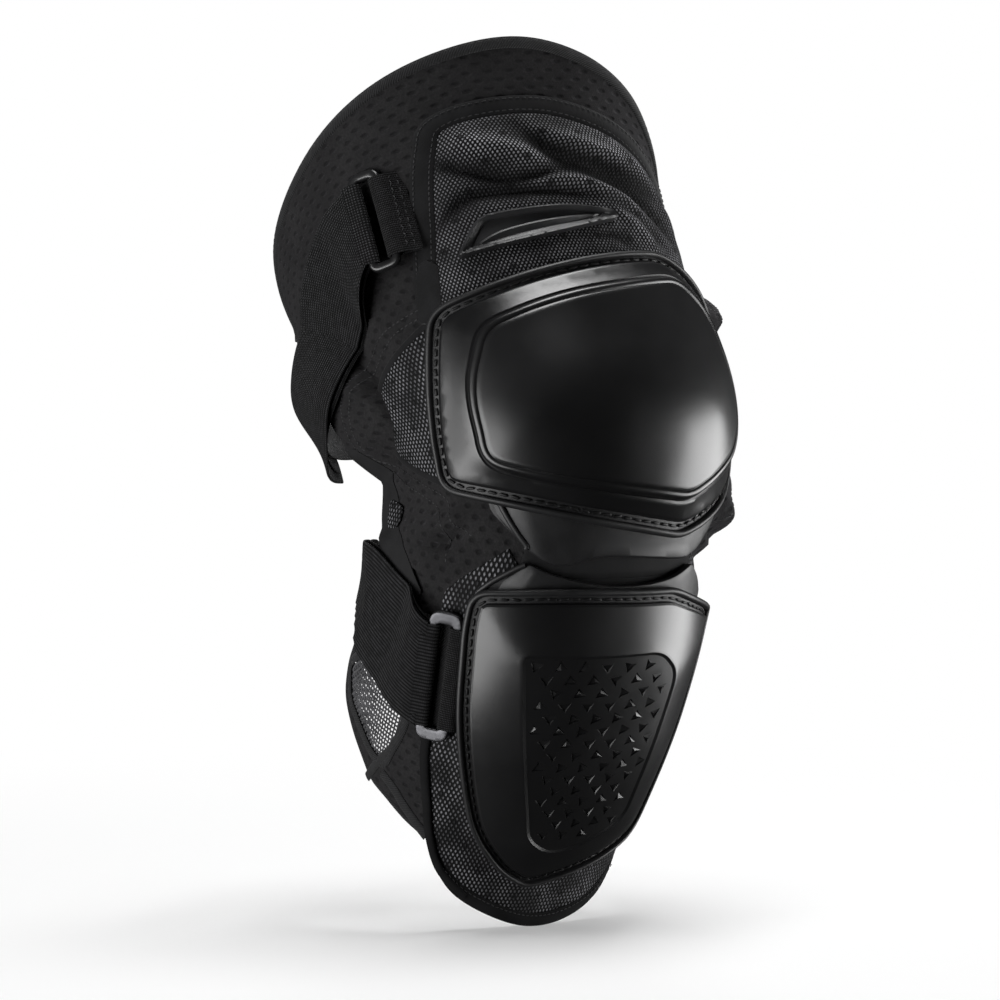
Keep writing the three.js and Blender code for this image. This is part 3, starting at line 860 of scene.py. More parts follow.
def hard_shell(name, corners, panel, steps, relief, top, body, lines=(), **settings):
    """A moulded shell. top(points, into, share) gives its height above its relief.

    into is the distance into its panel, and share runs from 0 at its edge to 1 at the panel.
    steps are the distances into the panel at which the mesh has a line, besides lines.
    """
    edge = inset(shape(corners, 2.0), SHELL_EDGE)

    def height(points):
        into = signed(points, panel)
        off = distance(points, edge)
        share = np.clip(off / np.maximum(off + np.maximum(-into, 0), 1e-6), 0, 1)
        return relief(points[:, 0], points[:, 1]) + top(points, into, share)

    lines = [(inset(panel, d), True) for d in steps] + list(lines)
    shell = plate(name, edge, lambda p: SHELL_LOW + relief(p[:, 0], p[:, 1]), height, SHELL, body,
                  spacing=3.0, lines=lines, **settings)
    declare("hard_shell", shell, node=f"{name}_shell")


CUP_STEPS = (-3.4, -2.4, -2.0, -1.6, -1.2, -0.8, -0.2, 0.5, 1.1, 1.5, 1.9, 2.3, 2.8, 3.8)
PLATE_STEPS = (-1.0, -0.3, 0.3, 0.9, 1.6)


def knee_cup():
    frame_bead("knee_cup_rim", "knee_cup_frame", CUP, cup_relief, "knee")

    def top(points, into, share):
        """A sloping border, a groove and a rib with a fine line, and the crowned panel."""
        slope = 4.6 * share ** 1.25 - 0.5 * np.sin(np.pi * share)
        groove = 1.0 * np.exp(-(np.abs(into + 1.6) / 0.55) ** 2)
        rib = 0.4 * ramp(into, -1.3, -0.5) * (1 - 0.4 * ramp(into, 0.9, 1.6))
        fine = 0.5 * np.exp(-(np.abs(into - 1.95) / 0.45) ** 2)
        crown = 2.2 * ramp(into, 1.5, 38)
        return 15.3 + slope - groove + rib - fine + crown

    hard_shell("knee_cup", CUP, shape(CUP_PANEL, 1.6), CUP_STEPS, cup_relief, top, "knee", rim=1.3)


def scoops(outline):
    """A staggered field of small triangular scoops, as (corners, lowered edge) pairs."""
    found = []
    reach = 5.4 * 0.577  # from a triangle's middle to its corners, for sides of 5.4 mm
    pitch, rows, margin = 9.4, 6.2, 4.6
    draw = np.random.default_rng(4)
    for row, t in enumerate(np.arange(-174, -76, rows)):
        for s in np.arange(-45, 45, pitch):
            centre = np.array((s + (pitch / 2 if row % 2 else 0), t))
            turn = math.radians(draw.choice((-20, 0, 20, 40)))
            if signed(centre[None], outline)[0] < margin:
                continue
            corners = [
                centre + reach * np.array((math.cos(turn + a), math.sin(turn + a)))
                for a in (0, 2 * math.pi / 3, 4 * math.pi / 3)
            ]
            low = [corner + (centre - corner) * 0.30 for corner in corners[1:]]
            found.append((corners, low))
    return found


def shin_plate():
    frame_bead("shin_plate_rim", "shin_plate_frame", PLATE, plate_relief, "shin")
    panel = shape(PLATE_PANEL, 1.8)
    dents = scoops(panel)
    pits = np.array([point for _, low in dents for point in low])

    def top(points, into, share):
        """Flat facets that rise to a sunken panel with its field of scoops."""
        recess = 0.7 * ramp(into, 0.2, 1.6)
        away = np.array([np.min(((pits - p) ** 2).sum(1)) for p in points])
        return 15.2 + 5.4 * share - recess - 0.95 * (away < 0.01)

    mitres = [
        ((-55, -59.5), (-38.5, -75)), ((62.5, -70.5), (35, -85)), ((27, -57.5), (21.5, -73.5)),
        ((-29, -186), (-19.5, -173)), ((53, -171), (31, -164)), ((-11, -193.5), (-9, -180.5)),
    ]
    lines = [(spaced(mitre, 2.4, closed=False)[1:-1], False) for mitre in mitres]
    hard_shell("shin_plate", PLATE, panel, PLATE_STEPS, plate_relief, top, "shin", rim=1.2,
               lines=lines, extra=dents, sharp=14)


def beyond(points, first, second):
    """How far points lie to the left of the line from first to second."""
    run = np.array(second, float) - first
    run /= np.linalg.norm(run)
    return np.maximum(0, run[0] * (points[:, 1] - first[1]) - run[1] * (points[:, 0] - first[0]))


def link_plates():
    """The two moulded pieces between cup and shin plate, and the ribbed fabric that joins them."""
    upper_fold = [(-36.5, -37.5), (-47, -17)]
    lower_fold = [(-44, -60), (-36, -43)]
    lip = smooth([(-24, -41.4), (-19, -40), (-9, -37.8), (5, -38.6), (34, -40.6)], 60)

    def upper_top(points):
        facet = beyond(points, *np.array(upper_fold))
        sag = 0.9 * ramp(points[:, 1], -40, -26)
        return 11.5 - 0.34 * facet + sag + 0.7 * np.exp(-(distance(points, lip, False) / 1.1) ** 2)

    def lower_top(points):
        facet = beyond(points, *np.array(lower_fold))
        wing = 0.12 * np.maximum(0, points[:, 0] - 38)
        return 11.7 - 0.34 * facet - wing

    for name, node, corners, top, crease, body, rim_path in (
        ("upper_link", "upper_link_plate", UPPER_LINK, upper_top, upper_fold, "knee",
         [(-56, -18), (-51, -25), (-45.5, -31.5), (-41.6, -35.4), (-41.6, -36.6)]),
        ("lower_link", "lower_link_plate", LOWER_LINK, lower_top, lower_fold, "shin",
         [(-41.0, -42.4), (-43.6, -43.6), (-48, -46.2), (-53, -49.5), (-58, -54)]),
    ):
        crease = spaced(crease, 2.5, closed=False)[1:-1]
        piece = plate(name, rounded(corners), LINK_LOW, top, RUBBER, body, rim=0.9, spacing=2.6,
                      lines=[(crease, False)])
        bead = sweep(f"{name}_edge_bead", with_height(smooth(rim_path, 30), 10.4),
                     round_section(1.15, 1.5), RUBBER, body)
        declare("moulded_rubber", piece, bead, node=node)

    def ribbed(points):
        ribs = 0.45 * np.sin(points[:, 1] * 2 * math.pi / 1.9)
        return 7.6 + ribs - 1.6 * ramp(-points[:, 1], 45, 47.5)

    gusset = plate(
        "link_stretch_fabric", rounded([(-44, -60, 2), (46, -60, 2), (44, -33, 2), (-42, -33, 2)]),
        4.4, ribbed, RIBBED, None, rim=0.5, spacing=1.1,
    )
    declare("ribbed_elastic", gusset, node="link_gusset")
    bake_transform(gusset)


def vent():
    """The moulded trim: a raised rim round a window, where a blade leans over a recess that its
    material paints dark as shade.
    """
    base = 9.8
    outline = shape(VENT, 1.5)
    window = shape(VENT_WINDOW, 1.0)
    recess = shape(VENT_RECESS, 1.0)

    def top(points):
        rim = 1.7 * np.exp(-((distance(points, outline) - 1.2) / 0.85) ** 2)
        pane = signed(points, window)
        dark = signed(points, recess)
        blade = 1.3 * ramp(pane, 0.0, 1.2) * np.exp(-((dark + 1.1) / 1.2) ** 2)
        return base + 2.0 + rim - 0.9 * ramp(pane, -0.5, 0.5) + blade - 4.2 * ramp(dark, -0.3, 0.7)

    lines = [(inset(outline, d), True) for d in (2.0, 2.6)]
    lines += [(inset(window, d), True) for d in (-0.5, 0.5)]
    lines += [(inset(recess, d), True) for d in (-2.0, -1.1, -0.3, 0.7)]
    trim = plate("thigh_vent_trim", outline, base, top, TRIM, "thigh", rim=0.9, spacing=1.3,
                 lines=lines)
    declare("moulded_rubber", trim, node="thigh_vent")


CLOTH_FRAMES = 18


def swell(obj, free, growth, pressure, cap):
    """Lets Blender's cloth fill out and wrinkle the free vertices of a piece.

    growth is how much larger than its flat cut the cloth wants to be, and cap, in mm, is how far
    a point may move.
    """
    rest = np.empty(len(obj.data.vertices) * 3)
    obj.data.vertices.foreach_get("co", rest)
    rest = rest.reshape(-1, 3)
    held = obj.vertex_groups.new(name="held")
    for index, value in enumerate(1 - np.clip(free, 0, 1)):
        held.add([index], float(value), "REPLACE")
    cloth = obj.modifiers.new("cloth", "CLOTH")
    cloth.settings.vertex_group_mass = "held"
    cloth.settings.pin_stiffness = 5
    cloth.settings.quality = 6
    cloth.settings.mass = 0.2
    cloth.settings.tension_stiffness = cloth.settings.compression_stiffness = 12
    cloth.settings.bending_stiffness = 0.4
    cloth.settings.shrink_min = -growth
    cloth.settings.use_pressure = True
    cloth.settings.uniform_pressure_force = pressure
    cloth.settings.effector_weights.gravity = 0
    scene = bpy.context.scene
    for number in range(1, CLOTH_FRAMES + 1):
        scene.frame_set(number)
    shaped = obj.evaluated_get(bpy.context.evaluated_depsgraph_get()).data
    found = np.empty(len(shaped.vertices) * 3)
    shaped.vertices.foreach_get("co", found)
    moved = found.reshape(-1, 3) - rest
    length = np.linalg.norm(moved, axis=1, keepdims=True)
    moved *= np.minimum(1, cap * MM / np.maximum(length, 1e-9)) * np.clip(free, 0, 1)[:, None]
    obj.modifiers.remove(cloth)
    obj.vertex_groups.remove(held)
    obj.data.vertices.foreach_set("co", (rest + moved).ravel())
    obj.data.update()
    scene.frame_set(1)


# ---------- fabric ----------

def thigh_liner():
    """The cuff round the thigh, with the binding of its upper edge."""
    arch = smooth(THIGH_ARCH)[::-1]
    outline = np.vstack([arch, THIGH_FOOT[::-1]])

    def top(points):
        s, t = points[:, 0], points[:, 1]
        wave = 0.5 * np.sin(s / 17 + t / 31) * np.sin(t / 23 - s / 41)
        return 2.0 + wave * ramp(distance(points, outline), 2, 14) + flare(points)

    def flare(points):
        """The loose lower corners of the cuff stand off the leg."""
        return 7.0 * bulge(np.abs(points[:, 0]), points[:, 1], (156, 66), (36, 30))

    liner = plate("thigh_cuff", outline, flare, top, FABRIC, "thigh", rim=0.8, spacing=4)
    declare("dimpled_fabric", liner, node="thigh_liner")
    edge = np.column_stack([arch, 1.1 + flare(arch)])
    binding = sweep("thigh_cuff_binding", edge,
                    [(-2.6, 0.6), (-2.9, 1.4), (-1.2, 1.95), (2.0, 1.95), (2.7, 1.2), (2.9, 0),
                     (2.7, -1.2), (2.0, -1.9), (-1.2, -1.9), (-2.9, -1.3), (-2.6, -0.6)],
                    BINDING, "thigh")
    row = inset(arch, -1.7, False)
    row = np.column_stack([row, 2.75 + flare(row)])
    sewn = stitches("thigh_cuff_binding_stitches", [row], "thigh", pitch=3.2, long=2.2, thick=0.32)
    declare("edge_binding", binding, sewn, node="thigh_binding")


# Folds of the thigh pad's cover and of the side fabric: the line, its width and height, and how
# sharp it is.
PAD_FOLDS = [
    ([(-17, 148), (-9, 138), (-2, 132.5), (7, 129), (18, 126), (31, 122), (46, 115)],
     5.4, -6.0, 1.6),
    ([(-52, 136), (-38, 127.5), (-30, 123), (-22, 120), (-12, 121), (-2, 124)], 3.2, -5.0, 1.4),
    ([(-52, 102), (-46, 108), (-39, 113), (-31, 114.5), (-21, 114), (-8, 114), (8, 112)],
     3.0, -4.6, 1.4),
    ([(13, 122), (22, 119), (31, 113.5), (40, 106), (52, 95)], 3.0, -4.4, 1.4),
    ([(28, 142), (40, 128), (50, 117), (62, 103)], 3.2, -3.0, 1.4),
    ([(-13, 146), (-2, 140), (11, 135), (22, 131), (37, 122)], 4.2, 4.0, 2),
    ([(-44, 144), (-29, 137.5), (-16, 132.5), (-5, 126)], 4.6, 4.2, 2),
    ([(-26, 118), (-12, 117.8), (0, 119), (13, 115.5), (26, 108.5), (36, 99)], 3.2, 4.0, 2),
    ([(22, 144), (34, 132), (46, 120), (57, 104)], 3.8, 3.2, 2),
    ([(5, 96), (15, 92), (24, 86)], 3.0, -2.4, 1.5),
    ([(20, 110), (32, 101), (42, 90)], 3.4, -3.0, 1.5),
    ([(14, 106), (27, 98), (36, 88)], 3.4, 2.6, 2),
    ([(-56, 92), (-50, 86)], 4.0, -1.6, 2),
]


def thigh_pad():
    """The quilted pad: folds drawn in code, then swollen as cloth between its held edges."""
    outline = spaced(np.vstack([smooth(PAD_EDGE)[::-1], PAD_FOOT[::-1]]), 2.0)
    near_vent = shape(VENT, 2.0)
    floor_height, edge_height, under_vent = 2.6, 3.4, 5.6

    def wrinkles(points):
        """Folds of the cover, which lies flat around the vent."""
        folds = sum(fold(points, *crease) for crease in PAD_FOLDS)
        return folds * ramp(-signed(points, near_vent), 0.5, 6)

    def top(points):
        off = distance(points, outline)
        puff = edge_height + 5.6 * np.sqrt(np.clip(off / 12, 0, 1))
        open_top = np.maximum(puff + wrinkles(points) * ramp(off, 1, 8), edge_height)
        under = ramp(signed(points, near_vent), 1.0, 3.5)
        return open_top * (1 - under) + under_vent * under

    pad = plate("thigh_pad_cover", outline, floor_height, top, THIGH_MESH, "thigh", rim=0.8,
                spacing=1.9)
    flat = np.empty(len(pad.data.vertices) * 3, np.float32)
    pad.data.attributes["weave"].data.foreach_get("vector", flat)
    flat = flat.reshape(-1, 3)
    clear = np.minimum(distance(flat[:, :2], outline), distance(flat[:, :2], near_vent) * 1.5)
    clear[inside(flat[:, :2], near_vent)] = 0
    free = ramp(clear, 1.5, 8) * (flat[:, 2] > floor_height + 0.1)  # the outer skin alone
    swell(pad, free, growth=0.09, pressure=1.5, cap=4.5)
    # The knit's painted shade follows these fold heights: its creases are painted dark.
    flat[:, 2] = 9 + wrinkles(flat[:, :2])  # so that the knit's shade follows the folds
    pad.data.attributes["weave"].data.foreach_set("vector", flat.ravel())
    declare("spacer_mesh", pad, node="thigh_pad")


def pad_border():
    """The stitched band round the thigh pad, which ends short of the knee's inner side."""
    border_path = smooth(PAD_EDGE)[:-14]
    border = inset(border_path, 4.4, False)
    tape = sweep("thigh_pad_border_band", with_height(border, 3.3),
                 [(-4.3, -0.8), (4.3, -0.8), (4.6, 0.1), (3.9, 0.8), (0, 1.15), (-3.9, 1.0),
                  (-4.6, 0.3)],
                 SUEDE, "thigh")
    rows = [with_height(inset(border_path, d, False), 4.4) for d in (1.5, 7.4)]
    sewn = stitches("thigh_pad_border_stitches", rows, "thigh", thick=0.28)
    tail = plate("thigh_pad_border_tail",
                 rounded([(-72, 61, 2), (-62, 59, 2), (-56, 86, 2), (-61, 90, 2), (-66, 84, 4)]), 4.6,
                 lambda p: 5.8 + 1.2 * np.exp(-((p[:, 1] - 61) / 9) ** 2), SUEDE, "thigh",
                 rim=0.5, spacing=2.5)
    declare("dimpled_fabric", tape, sewn, tail, node="thigh_pad_border")


KNEE_PAD = [
    (-70, -9, 8), (-22, -15.5, 30), (5, -19, 20), (25, -22.5, 5), (40, -18, 12), (58, -9, 12),
    (66, 18, 30), (54, 56, 12), (29, 66, 6), (0, 62, 30), (-56, 52, 8), (-71, 12, 30),
]
FLANK_SEAM = [
    (-72, -112), (-71, -128), (-69, -145), (-66, -163), (-63, -180), (-56, -197), (-42, -209),
]


def knee_pad():
    """The foam below the cup."""
    pad = plate("knee_pad_cover", rounded(KNEE_PAD), 3.2, 11.4, FOAM, "knee", rim=3.5, spacing=5)
    declare("foam", pad, node="knee_pad")


def shin_pad():
    """The mesh-covered pad, which lies low beside the shin plate and high under it."""
    hem = smooth(SHIN_HEM)
    outline = np.vstack([hem, [
        (70, -110), (74, -64), (68, -50), (50, -40), (44, -43), (20, -56), (-20, -56), (-44, -43),
        (-49, -37), (-58, -43.5), (-68, -50.5), (-75, -57), (-76, -63), (-73, -80), (-73, -112),
    ]])
    plate_line = shape(PLATE, 3.0)
    under_plate, under_links = 11.2, 4.8

    def top(points):
        s, t = points[:, 0], points[:, 1]
        under = ramp(signed(points, plate_line), -6, 2)
        flank = 4.4 + 3.4 * ramp(-t, 122, 140)
        hollow = 0.35 * np.sin(s / 6.5) * np.sin(t / 8.0) * (1 - under)
        link = ramp(t, -66, -58)
        height = flank + (under_plate - flank) * under
        return height * (1 - link) + under_links * link + hollow

    pad = plate("shin_pad_cover", outline, 2.4, top, SIDE_MESH, "shin", rim=1.4, spacing=3.0)
    declare("spacer_mesh", pad, node="shin_pad")


def shin_hem():
    """The thick rounded hem at the bottom, thinner at its ends, and the seam above each end."""
    low = smooth(SHIN_HEM, 160)
    low = low[low[:, 1] < -150]
    run = np.linspace(0, 1, len(low))
    taper = 0.35 + 0.65 * ramp(np.minimum(run, 1 - run), 0.0, 0.3)
    band = sweep("shin_hem_band", with_height(low, 4.6),
                 [(1.5, -4.4), (1.5, 3.6), (-1.0, 4.6), (-4.0, 4.3), (-6.2, 3.0), (-7.0, 0.4),
                  (-6.4, -2.6), (-4.4, -4.2), (-1.0, -4.6)],
                 SMOOTH_FABRIC, "shin", scale=taper)
    sewn = stitches("shin_hem_stitches", [with_height(inset(low[25:-25], 0.2, False), 8.9)], "shin",
                    pitch=2.8, long=1.9, thick=0.28)
    seam = smooth(FLANK_SEAM, 60)
    lift = 6.0 + 2.6 * ramp(-seam[:, 1], 122, 140)
    piping = sweep("shin_flank_piping", np.column_stack([seam, lift]), round_section(2.3, 1.5),
                   SMOOTH_FABRIC, "shin")
    declare("edge_binding", band, sewn, piping, node="shin_hem")


def liners():
    hem = smooth(SHIN_HEM)
    shin_outline = np.vstack([hem, [(66, -120), (62, -37), (-62, -37), (-65.5, -120)]])
    knee_outline = rounded([(-66, -32, 4), (62, -32, 4), (68, 16, 20), (62, 60, 6), (-64, 60, 6)])
    for body, outline in (("shin", shin_outline), ("knee", knee_outline)):
        lining = plate(f"{body}_lining", outline, 0, LINER_TOP, LINING, body, rim=0.6, spacing=6)
        declare("dimpled_fabric", lining, node=f"{body}_liner")


SIDE_MESH_PATCH = [
    (-98, 46, 12), (-114, 34, 12), (-125, 15, 12), (-118, -1, 10), (-98, -9, 10), (-74, -15, 3),
    (-73, 12, 20), (-69, 60, 3),
]

# The side fabric is drawn for the outer side, and mirrored for the inner one.
UPPER_GUSSET = [(-143, -2, 2), (-60, -2, 0), (-56, 50, 0), (-62, 72, 3), (-152, 74, 4)]
LOWER_GUSSET = [
    (-131, -42, 4), (-100, -50, 4), (-70, -58, 0), (-42, -44, 2), (-38, -24, 4), (-60, -14, 4),
    (-60, 1, 0), (-143, 1, 2),
]
BACK_STRIP = [
    (-143, 4, 2), (-135, 6, 4), (-123, -14, 6), (-115, -34, 6), (-99, -48, 5), (-86, -62, 3),
    (-98, -62, 5), (-126, -46, 5), (-134, -33, 4), (-142, -8, 6),
]
BACK_VENT = [(-126, -22, 4), (-113, -26, 3), (-112, -35, 3), (-124, -38, 4)]
CALF_WING = [
    (-137, -100, 8), (-145, -117, 6), (-148, -133, 8), (-132, -146, 8), (-118, -157, 6),
    (-109, -165, 5), (-95, -170, 5), (-80, -178, 4), (-60, -187, 2), (-62, -140, 30),
    (-61, -110, 5), (-60, -47, 2), (-129, -39, 6),
]
CALF_WINDOW = [
    (-139, -116, 3), (-136, -131, 6), (-126, -137, 6), (-109, -149, 5), (-99, -152, 4),
    (-89, -130, 8), (-87, -118, 5), (-94, -111, 4), (-112, -107, 5), (-129, -108, 3),
]
CALF_TAPES = [
    [(-112, -165), (-104, -155), (-93, -143), (-87, -130), (-85, -118)],
    [(-99, -158), (-90, -163), (-82, -170), (-67, -183)],
]
GUSSET_SEAMS = {
    "upper": [
        [(-60, 70), (-77, 67), (-92, 63), (-107, 55), (-124, 44), (-133, 31), (-137, 13),
         (-134, 3)],
        [(-62, 66), (-78, 63), (-91, 59), (-105, 51), (-121, 40), (-129, 28), (-133, 13),
         (-130, 3)],
    ],
    "lower": [
        [(-130, -1), (-125, -5), (-101, -14), (-84, -20), (-76, -30), (-66, -34)],
        [(-133, -5), (-123, -10), (-101, -19), (-88, -25), (-80, -34), (-77, -46)],
    ],
}
CREASES = [
    ([(-112, -44), (-93, -43.5), (-82, -40), (-72, -33.5), (-58, -27)], 3.0, -4.0, 1.4),
    ([(-110, -36), (-93, -35), (-80, -30), (-68, -22)], 5.0, 4.5, 2),
    ([(-86, -58), (-83, -50), (-74, -43.5), (-58, -36)], 4.5, 3.4, 2),
    ([(-116, -25), (-104, -20), (-93, -24), (-82, -22)], 3.5, -2.4, 1.5),
    ([(-128, -12), (-112, -16), (-98, -20)], 4.0, 2.4, 2),
    ([(-128, 46), (-118, 36), (-112, 22), (-112, 6)], 4.0, 2.4, 2),
    ([(-104, 50), (-112, 40), (-122, 20)], 3.5, -2.0, 1.5),
]


def front_panel():
    """The stretch fabric behind the cup's top, which shows when the thigh bends back."""
    outline = rounded([(-76, 40, 6), (72, 40, 6), (72, 98, 6), (-76, 98, 6)])
    panel = plate("front_stretch_panel", outline, -2.6, -1.2, RIBBED, None, rim=0.4, spacing=3)
    declare("ribbed_elastic", panel)
    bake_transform(panel)


def net(name, outline, height, body):
    """Open netting: two families of fine yarns that pass over and under each other."""
    pitch, radius = 2.2, 0.58
    box_low, box_high = outline.min(0), outline.max(0)
    centre = (box_low + box_high) / 2
    reach = np.linalg.norm(box_high - box_low) / 2
    rows, faces = [], []
    start = 0
    for family, turn in enumerate((math.radians(80), math.radians(-10))):
        ahead = np.array((math.cos(turn), math.sin(turn)))
        left = np.array((-ahead[1], ahead[0]))
        for k in np.arange(-reach, reach, pitch):
            steps = np.arange(-reach, reach, pitch / 2)
            line = centre + left * k + steps[:, None] * ahead
            line = line[inside(line, outline)]
            count = len(line)
            if count < 2:
                continue
            lift = height + 0.3 * np.sin(np.arange(count) * math.pi / 2 + family * 3)
            yarn = [
                np.column_stack([line + left * a, lift + b])
                for a, b in ((radius, 0), (0, radius), (-radius, 0), (0, -radius))
            ]
            rows.append(np.stack(yarn, 1).reshape(-1, 3))
            faces += [tuple(start + v for v in face) for face in slab_faces(count, len(yarn))]
            start += len(yarn) * count
    flat = np.vstack(rows)
    obj = to_object(name, on_leg(flat), faces, flat, NET, body, 60)
    fix_normals(obj)
    return obj


def waist(s, t):
    """How far the lower strap pulls the guard in behind the leg."""
    return 8.0 * bulge(s, t, (-172, -76), (48, 46)) + 9.0 * bulge(s, t, (-160, -108), (36, 22))


def slack(level, s, t):
    """How far the empty straps hang clear of a leg."""
    if level == "upper":
        return 22 * bulge(s, t, (-185, 15), (95, 80))
    return -9 * bulge(s, t, (-168, -20), (34, 45)) - waist(s, t)


def placed(corners, mirror):
    """An outline of the side fabric on one side."""
    moved = [(s * mirror, t, radius) for s, t, radius in corners]
    return shape(moved if mirror > 0 else moved[::-1], 1.5)


def looseness(s, t, mirror):
    """How far the gussets stand off the leg, where they have spare fabric."""
    if mirror < 0:
        return 21 * bulge(s, t, (-84, 62), (26, 20)) + 20 * bulge(s, t, (-90, -22), (30, 28))
    below_strap = slack("upper", s, t) - 1
    return np.maximum(0, np.minimum(26 * bulge(s, t, (-148, 28), (40, 44)), below_strap))


def crumpled(base, mirror):
    """Height of the gussets, which lap over the liners in front, above and below them."""
    def height(points):
        local = points * np.array((mirror, 1.0))
        s, t = local[:, 0], local[:, 1]
        lap = np.maximum.reduce([ramp(s, -72, -67), ramp(t, 57, 62), ramp(-t, 38, 43)])
        puffed = sum(fold(local, *crease) for crease in CREASES)
        return base + 2.1 * lap + puffed * (1 - lap) + looseness(s, t, mirror)
    return height


def gussets(side, mirror):
    """The fabric beside the knee."""
    for part, corners, first, second, low, high in (
        ("upper", UPPER_GUSSET, "knee", "thigh", 6, 58),
        ("lower", LOWER_GUSSET, "shin", "knee", -44, -4),
    ):
        cloth = plate(f"{part}_knee_fabric_{side}", placed(corners, mirror), crumpled(0, mirror),
                      crumpled(1.3, mirror), FABRIC, None, rim=0.3, spacing=2.2)
        seams = [smooth(line, 60) * (mirror, 1.0) for line in GUSSET_SEAMS[part]]
        seams = [np.column_stack([seam, crumpled(1.4, mirror)(seam)]) for seam in seams]
        pieces = [cloth, stitches(f"{part}_knee_stitches_{side}", seams, None)]
        if part == "lower":
            for name, line, base, material in (
                ("knee_back_strip", BACK_STRIP, 1.2, RIBBED),
                ("knee_back_vent", BACK_VENT, 2.2, SIDE_MESH),
            ):
                pieces.append(plate(f"{name}_{side}", placed(line, mirror), crumpled(base, mirror),
                                    crumpled(base + 1.1, mirror), material, None, rim=0.5,
                                    spacing=2.4))
        declare("dimpled_fabric", *pieces, node=f"{part}_side_gusset_{side}")
        for piece in pieces:
            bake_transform(piece)


def side_mesh(side, mirror):
    """The patch of spacer mesh beside the cup, and the welt round it."""
    patch = placed(SIDE_MESH_PATCH, mirror)
    mesh = plate(f"knee_side_patch_{side}", patch, 2.2,
                 lambda p: 2.8 + 2.6 * np.sqrt(np.clip(distance(p, patch) / 9, 0, 1)), SIDE_MESH,
                 "knee", rim=0.6, spacing=2.6)
    declare("spacer_mesh", mesh, node=f"knee_side_mesh_{side}")
    welt = sweep(f"knee_side_welt_{side}", with_height(inset(patch, -1.0), 2.9),
                 round_section(1.6, 0.8), SUEDE, "knee", closed=True)
    declare("dimpled_fabric", welt)


def calf_wing(side, mirror):
    """The flap behind the shin, with its net window, edgings and tapes."""
    wing, window = placed(CALF_WING, mirror), placed(CALF_WINDOW, mirror)
    cloth = plate(
        f"calf_wing_fabric_{side}", wing, lambda p: -waist(mirror * p[:, 0], p[:, 1]),
        lambda p: LINER_TOP - waist(mirror * p[:, 0], p[:, 1]), FABRIC, "shin", rim=0.6, spacing=4,
        holes=[window],
    )
    declare("dimpled_fabric", cloth, node=f"calf_wing_{side}")
    yarn = net(f"calf_net_{side}", inset(window, -1.2), 1.0, "shin")
    declare("open_mesh", yarn, node=f"calf_window_{side}")

    border = inset(window, -2.2)
    trims = [
        sweep(f"calf_net_border_{side}", with_height(border, 2.0), round_section(2.4, 0.55, 0.3),
              BINDING, "shin", closed=True),
        sweep(f"calf_wing_edging_{side}", with_height(inset(wing, 1.0), 0.95),
              round_section(1.6, 1.6), BINDING, "shin", closed=True),
        stitches(f"calf_net_stitches_{side}", [with_height(ring_of(border), 2.8)], "shin",
                 thick=0.28),
    ]
    for number, line in enumerate(CALF_TAPES, 1):
        path = with_height(smooth(line, 40) * (mirror, 1.0), 2.0)
        trims.append(sweep(f"calf_tape_{number}_{side}", path, round_section(2.6, 0.7, 0.2),
                           BINDING, "shin"))
    declare("edge_binding", *trims)


# ---------- straps and buckles ----------

def strap_edges(level, start, stop, width):
    """The two long edges of a stretch of strap, in step with each other."""
    path = smooth(STRAP_PATHS[level], 400)
    edges = []
    for push in (-width / 2, width / 2):
        line = inset(path, push, False)
        within = line[(line[:, 0] <= start) & (line[:, 0] >= stop)]
        ends = [np.interp(-x, -line[:, 0], line[:, 1]) for x in (start, stop)]
        edges.append(np.vstack([[(start, ends[0])], within, [(stop, ends[1])]]))
    rows = int(np.linalg.norm(np.diff(edges[0], axis=0), axis=1).sum() / 1.8)
    steps = np.linspace(0, 1, rows)
    return [
        np.stack([np.interp(steps, np.linspace(0, 1, len(edge)), edge[:, k]) for k in (0, 1)], -1)
        for edge in edges
    ]


